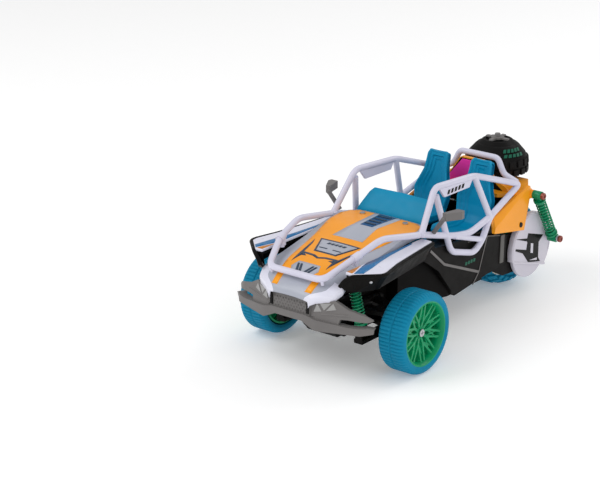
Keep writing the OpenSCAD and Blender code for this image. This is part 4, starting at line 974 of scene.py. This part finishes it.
def rear_body():
    """Orange rear body with a dark screw on each side."""
    skin("rear_body", ORANGE, 0.7)
    screws = Shape()
    head = [(-1, 0.1), (-1, 2.2), (0.4, 2), (0.4, 0.1)]
    for side in (1, -1):
        screws.lathe([(side * t, r) for t, r in head], mm(side * 46, WHEELBASE - 25, 61.5), 20)
    piece("rear_body_screws", "chassis", screws, SATIN_BLACK)


# ---- Suspension and drive ----------------------------------------------------------------


REAR_SHOCK_TOP = (WHEELBASE - 3.5, 80.4)
REAR_SHOCK_FOOT = (WHEELBASE + 22, 39)


def coil(shape, top, foot, turns):
    """The spring of a shock between two eyes: a helix of round wire with flattened end turns."""
    radius = 3.85
    wire = 1.15
    eye_to_spring = 7
    per_turn = 20
    way = (foot - top).normalized()
    length = (foot - top).length - 2 * eye_to_spring * MM
    start = top + way * eye_to_spring * MM
    normal = way.orthogonal().normalized()
    side = way.cross(normal)
    points = []
    for t in steps(0, 1, turns * per_turn):
        ease = min(1, max(0, (t * turns - 0.8) / (turns - 1.6)))
        a = 2 * math.pi * turns * t
        points.append(start + way * length * ease + (normal * math.cos(a) + side * math.sin(a)) * radius * MM)
    shape.tube(points, wire / 2 * MM, 10)


def springs():
    """Coils of the front and rear shocks, which ride on the shock bodies."""
    for name, side in both_sides():
        wire = Shape()
        coil(wire, mm(side * 26.5, -24, 67), mm(side * 35.5, -24, 30.5), 12)
        piece(f"front_coil_{name}", f"{name}_shock_body", wire, SPRING,
              [f"front_spring_{name}"])
        for node in ("body", "rod"):
            skin(f"front_shock_{node}_{name}", SHOCK, 0.2)
    wires = Shape()
    for side in (1, -1):
        coil(wires, mm(side * 47, *REAR_SHOCK_TOP), mm(side * 47, *REAR_SHOCK_FOOT), 13)
    piece("rear_coils", "rear_shock_body", wires, SPRING, ["rear_springs"])
    skin("rear_shock_bodies", SHOCK, 0.2)
    skin("rear_shock_rods", SHOCK, 0.2)


def shock_bolts():
    """Socket-headed bolts on the outer ends of the rear shocks."""
    head = [(-1.4, 0.1), (-1.4, 2.7), (0.4, 2.7), (0.9, 2.2), (0.9, 1.3), (0.2, 1.2), (0.2, 0.1)]
    ends = (("top", "chassis", REAR_SHOCK_TOP, 52.3), ("foot", "swing", REAR_SHOCK_FOOT, 54))
    for end, body, eye, reach in ends:
        bolts = Shape()
        for side in (1, -1):
            bolts.lathe([(side * t, r) for t, r in head], mm(side * reach, *eye), 28)
        piece(f"rear_shock_bolts_{end}", body, bolts, BOLT)


def gear_covers():
    """Round covers with a raised rim, a step along the bottom and a generic black mark."""
    skin("gear_covers", COVER, 0.6)
    face = 41
    rim_r = 26.6
    for name, side in both_sides():

        def on_cover(lift):
            return lambda y, z: mm(side * (face + lift), WHEELBASE + y, REAR_R + z)

        graphic = Shape()
        bracket = [(-23.6, 12.1), (-6.9, 8.5), (-5.6, 12.4), (16.7, 5.5), (10.4, 1), (10.4, -11.7),
                   (13.6, -16), (-4.2, -12), (-12.5, -2.5), (-23.6, 2.5), (-22.9, 3.9), (-7.6, -0.8),
                   (-6.3, 4.6), (-6.9, 6)]
        graphic.prism(bracket, on_cover(0), on_cover(0.22))
        piece(f"cover_graphic_{name}", "swing", graphic, SATIN_BLACK)
        gaps = Shape()
        gaps.prism([(-1.4, 3.1), (2.1, 2), (2.1, -6), (-1.4, -4.9)], on_cover(0.1), on_cover(0.34))
        gaps.prism([(-2.8, -10.6), (8.3, -11.4), (8.3, -13.4)], on_cover(0.1), on_cover(0.34))
        gaps.tube([on_cover(-0.4)(-26, -6.5), on_cover(-0.4)(20.5, -19.8)], 1.1 * MM, 10)
        piece(f"cover_step_{name}", "swing", gaps, COVER)
        ring = Shape()
        arc = [math.radians(a) for a in steps(-20, 200, 48)]
        ring.tube([on_cover(-0.2)(rim_r * math.cos(a), rim_r * math.sin(a)) for a in arc], 0.8 * MM, 10)
        piece(f"cover_rim_{name}", "swing", ring, COVER)


def plain_nodes():
    """CAD nodes whose shape is already right."""
    for node in ("chassis_tub", "swing_arm", "gear_case_lid", "battery_door"):
        skin(node, BLACK, 0.3)
    for name, _ in both_sides():
        for node in ("lower_arm", "upper_arm", "hub_carrier"):
            skin(f"{node}_{name}", BLACK, 0.3)
        skin(f"knuckle_{name}", DARK_GREY, 0.2)
    skin("steering_servo", DARK_GREY, 0.3)
    skin("steering_rack", DARK_GREY, 0.2)
    skin("servo_horn", NYLON, 0.2)
    skin("power_switch", GREEN, 0.2)
    skin("battery_pack", WRAP)
    skin("circuit_board", BOARD)
    skin("body_screws", STEEL)
    skin("hinge_pins", STEEL)
    skin("motor", STEEL, 0.3)
    skin("mirrors", GREY, 0.5)
    skin("motor_pinion", BRASS)
    skin("idler_gear", NYLON)


# ---- Stage ------------------------------------------------------------------------------


def stage():
    """Pale floor, even white world and three soft lights."""
    reach = 6
    mesh = bpy.data.meshes.new("floor")
    mesh.from_pydata([(-reach, -reach, 0), (reach, -reach, 0), (reach, reach, 0), (-reach, reach, 0)], [],
                     [(0, 1, 2, 3)])
    pale = finish("pale_floor", (0.93, 0.93, 0.93, 1), 0.8, mottle=0.004, grain=0.02, worn=0)
    glow = pale.node_tree.nodes["Principled BSDF"].inputs
    glow["Emission Color"].default_value = (1, 1, 1, 1)
    glow["Emission Strength"].default_value = 0.2
    mesh.materials.append(pale)
    obj = bpy.data.objects.new("floor", mesh)
    bpy.context.scene.collection.objects.link(obj)
    world = bpy.data.worlds.new("studio")
    bpy.context.scene.world = world
    world.use_nodes = True
    sky = world.node_tree.nodes["Background"].inputs
    sky["Color"].default_value = (1, 1, 1, 1)
    sky["Strength"].default_value = 0.58
    bpy.context.scene.view_settings.view_transform = "Standard"
    lit_spot = Vector((0, 0, 0.05))
    lights = (("key", (-0.7, -0.9, 1.3), 0.9, 9), ("fill", (1.3, -0.6, 0.8), 1.0, 4),
              ("back", (0.3, 1.3, 1.1), 0.9, 5))
    for name, place, size, power in lights:
        light = bpy.data.lights.new(name, "AREA")
        light.size = size
        light.energy = power
        lamp = bpy.data.objects.new(name, light)
        lamp.location = place
        lamp.rotation_mode = "QUATERNION"
        lamp.rotation_quaternion = (lit_spot - Vector(place)).to_track_quat("-Z", "Y")
        bpy.context.scene.collection.objects.link(lamp)


def camera():
    """The place and direction that match the photo's perspective."""
    data = bpy.data.cameras.new("camera")
    data.sensor_width = 36
    data.lens = 113.8
    cam = bpy.data.objects.new("camera", data)
    place = (0.77642, -1.10258, 0.53137)
    right = Vector((0.78122, 0.62426, 0))
    back = Vector((0.58903, -0.73713, 0.33120))
    up = back.cross(right)
    turn = Matrix((right, up, back)).transposed().to_4x4()
    cam.matrix_world = Matrix.Translation(place) @ turn
    bpy.context.scene.collection.objects.link(cam)
    bpy.context.scene.camera = cam


hood()
hood_films()
bumper()
grille()
front_cage()
rear_hoop()
rear_tyre()
spare()
cockpit()
rear_body()
springs()
shock_bolts()
gear_covers()
plain_nodes()
for side_name, side_sign in both_sides():
    fender(side_name, side_sign)
    arch_lip(side_name, side_sign)
    door_hoop(side_name, side_sign)
    front_tyre(side_name, side_sign)
    front_rim(side_name, side_sign)
    seat(side_name)
    side_panel(side_name, side_sign)
stage()
camera()
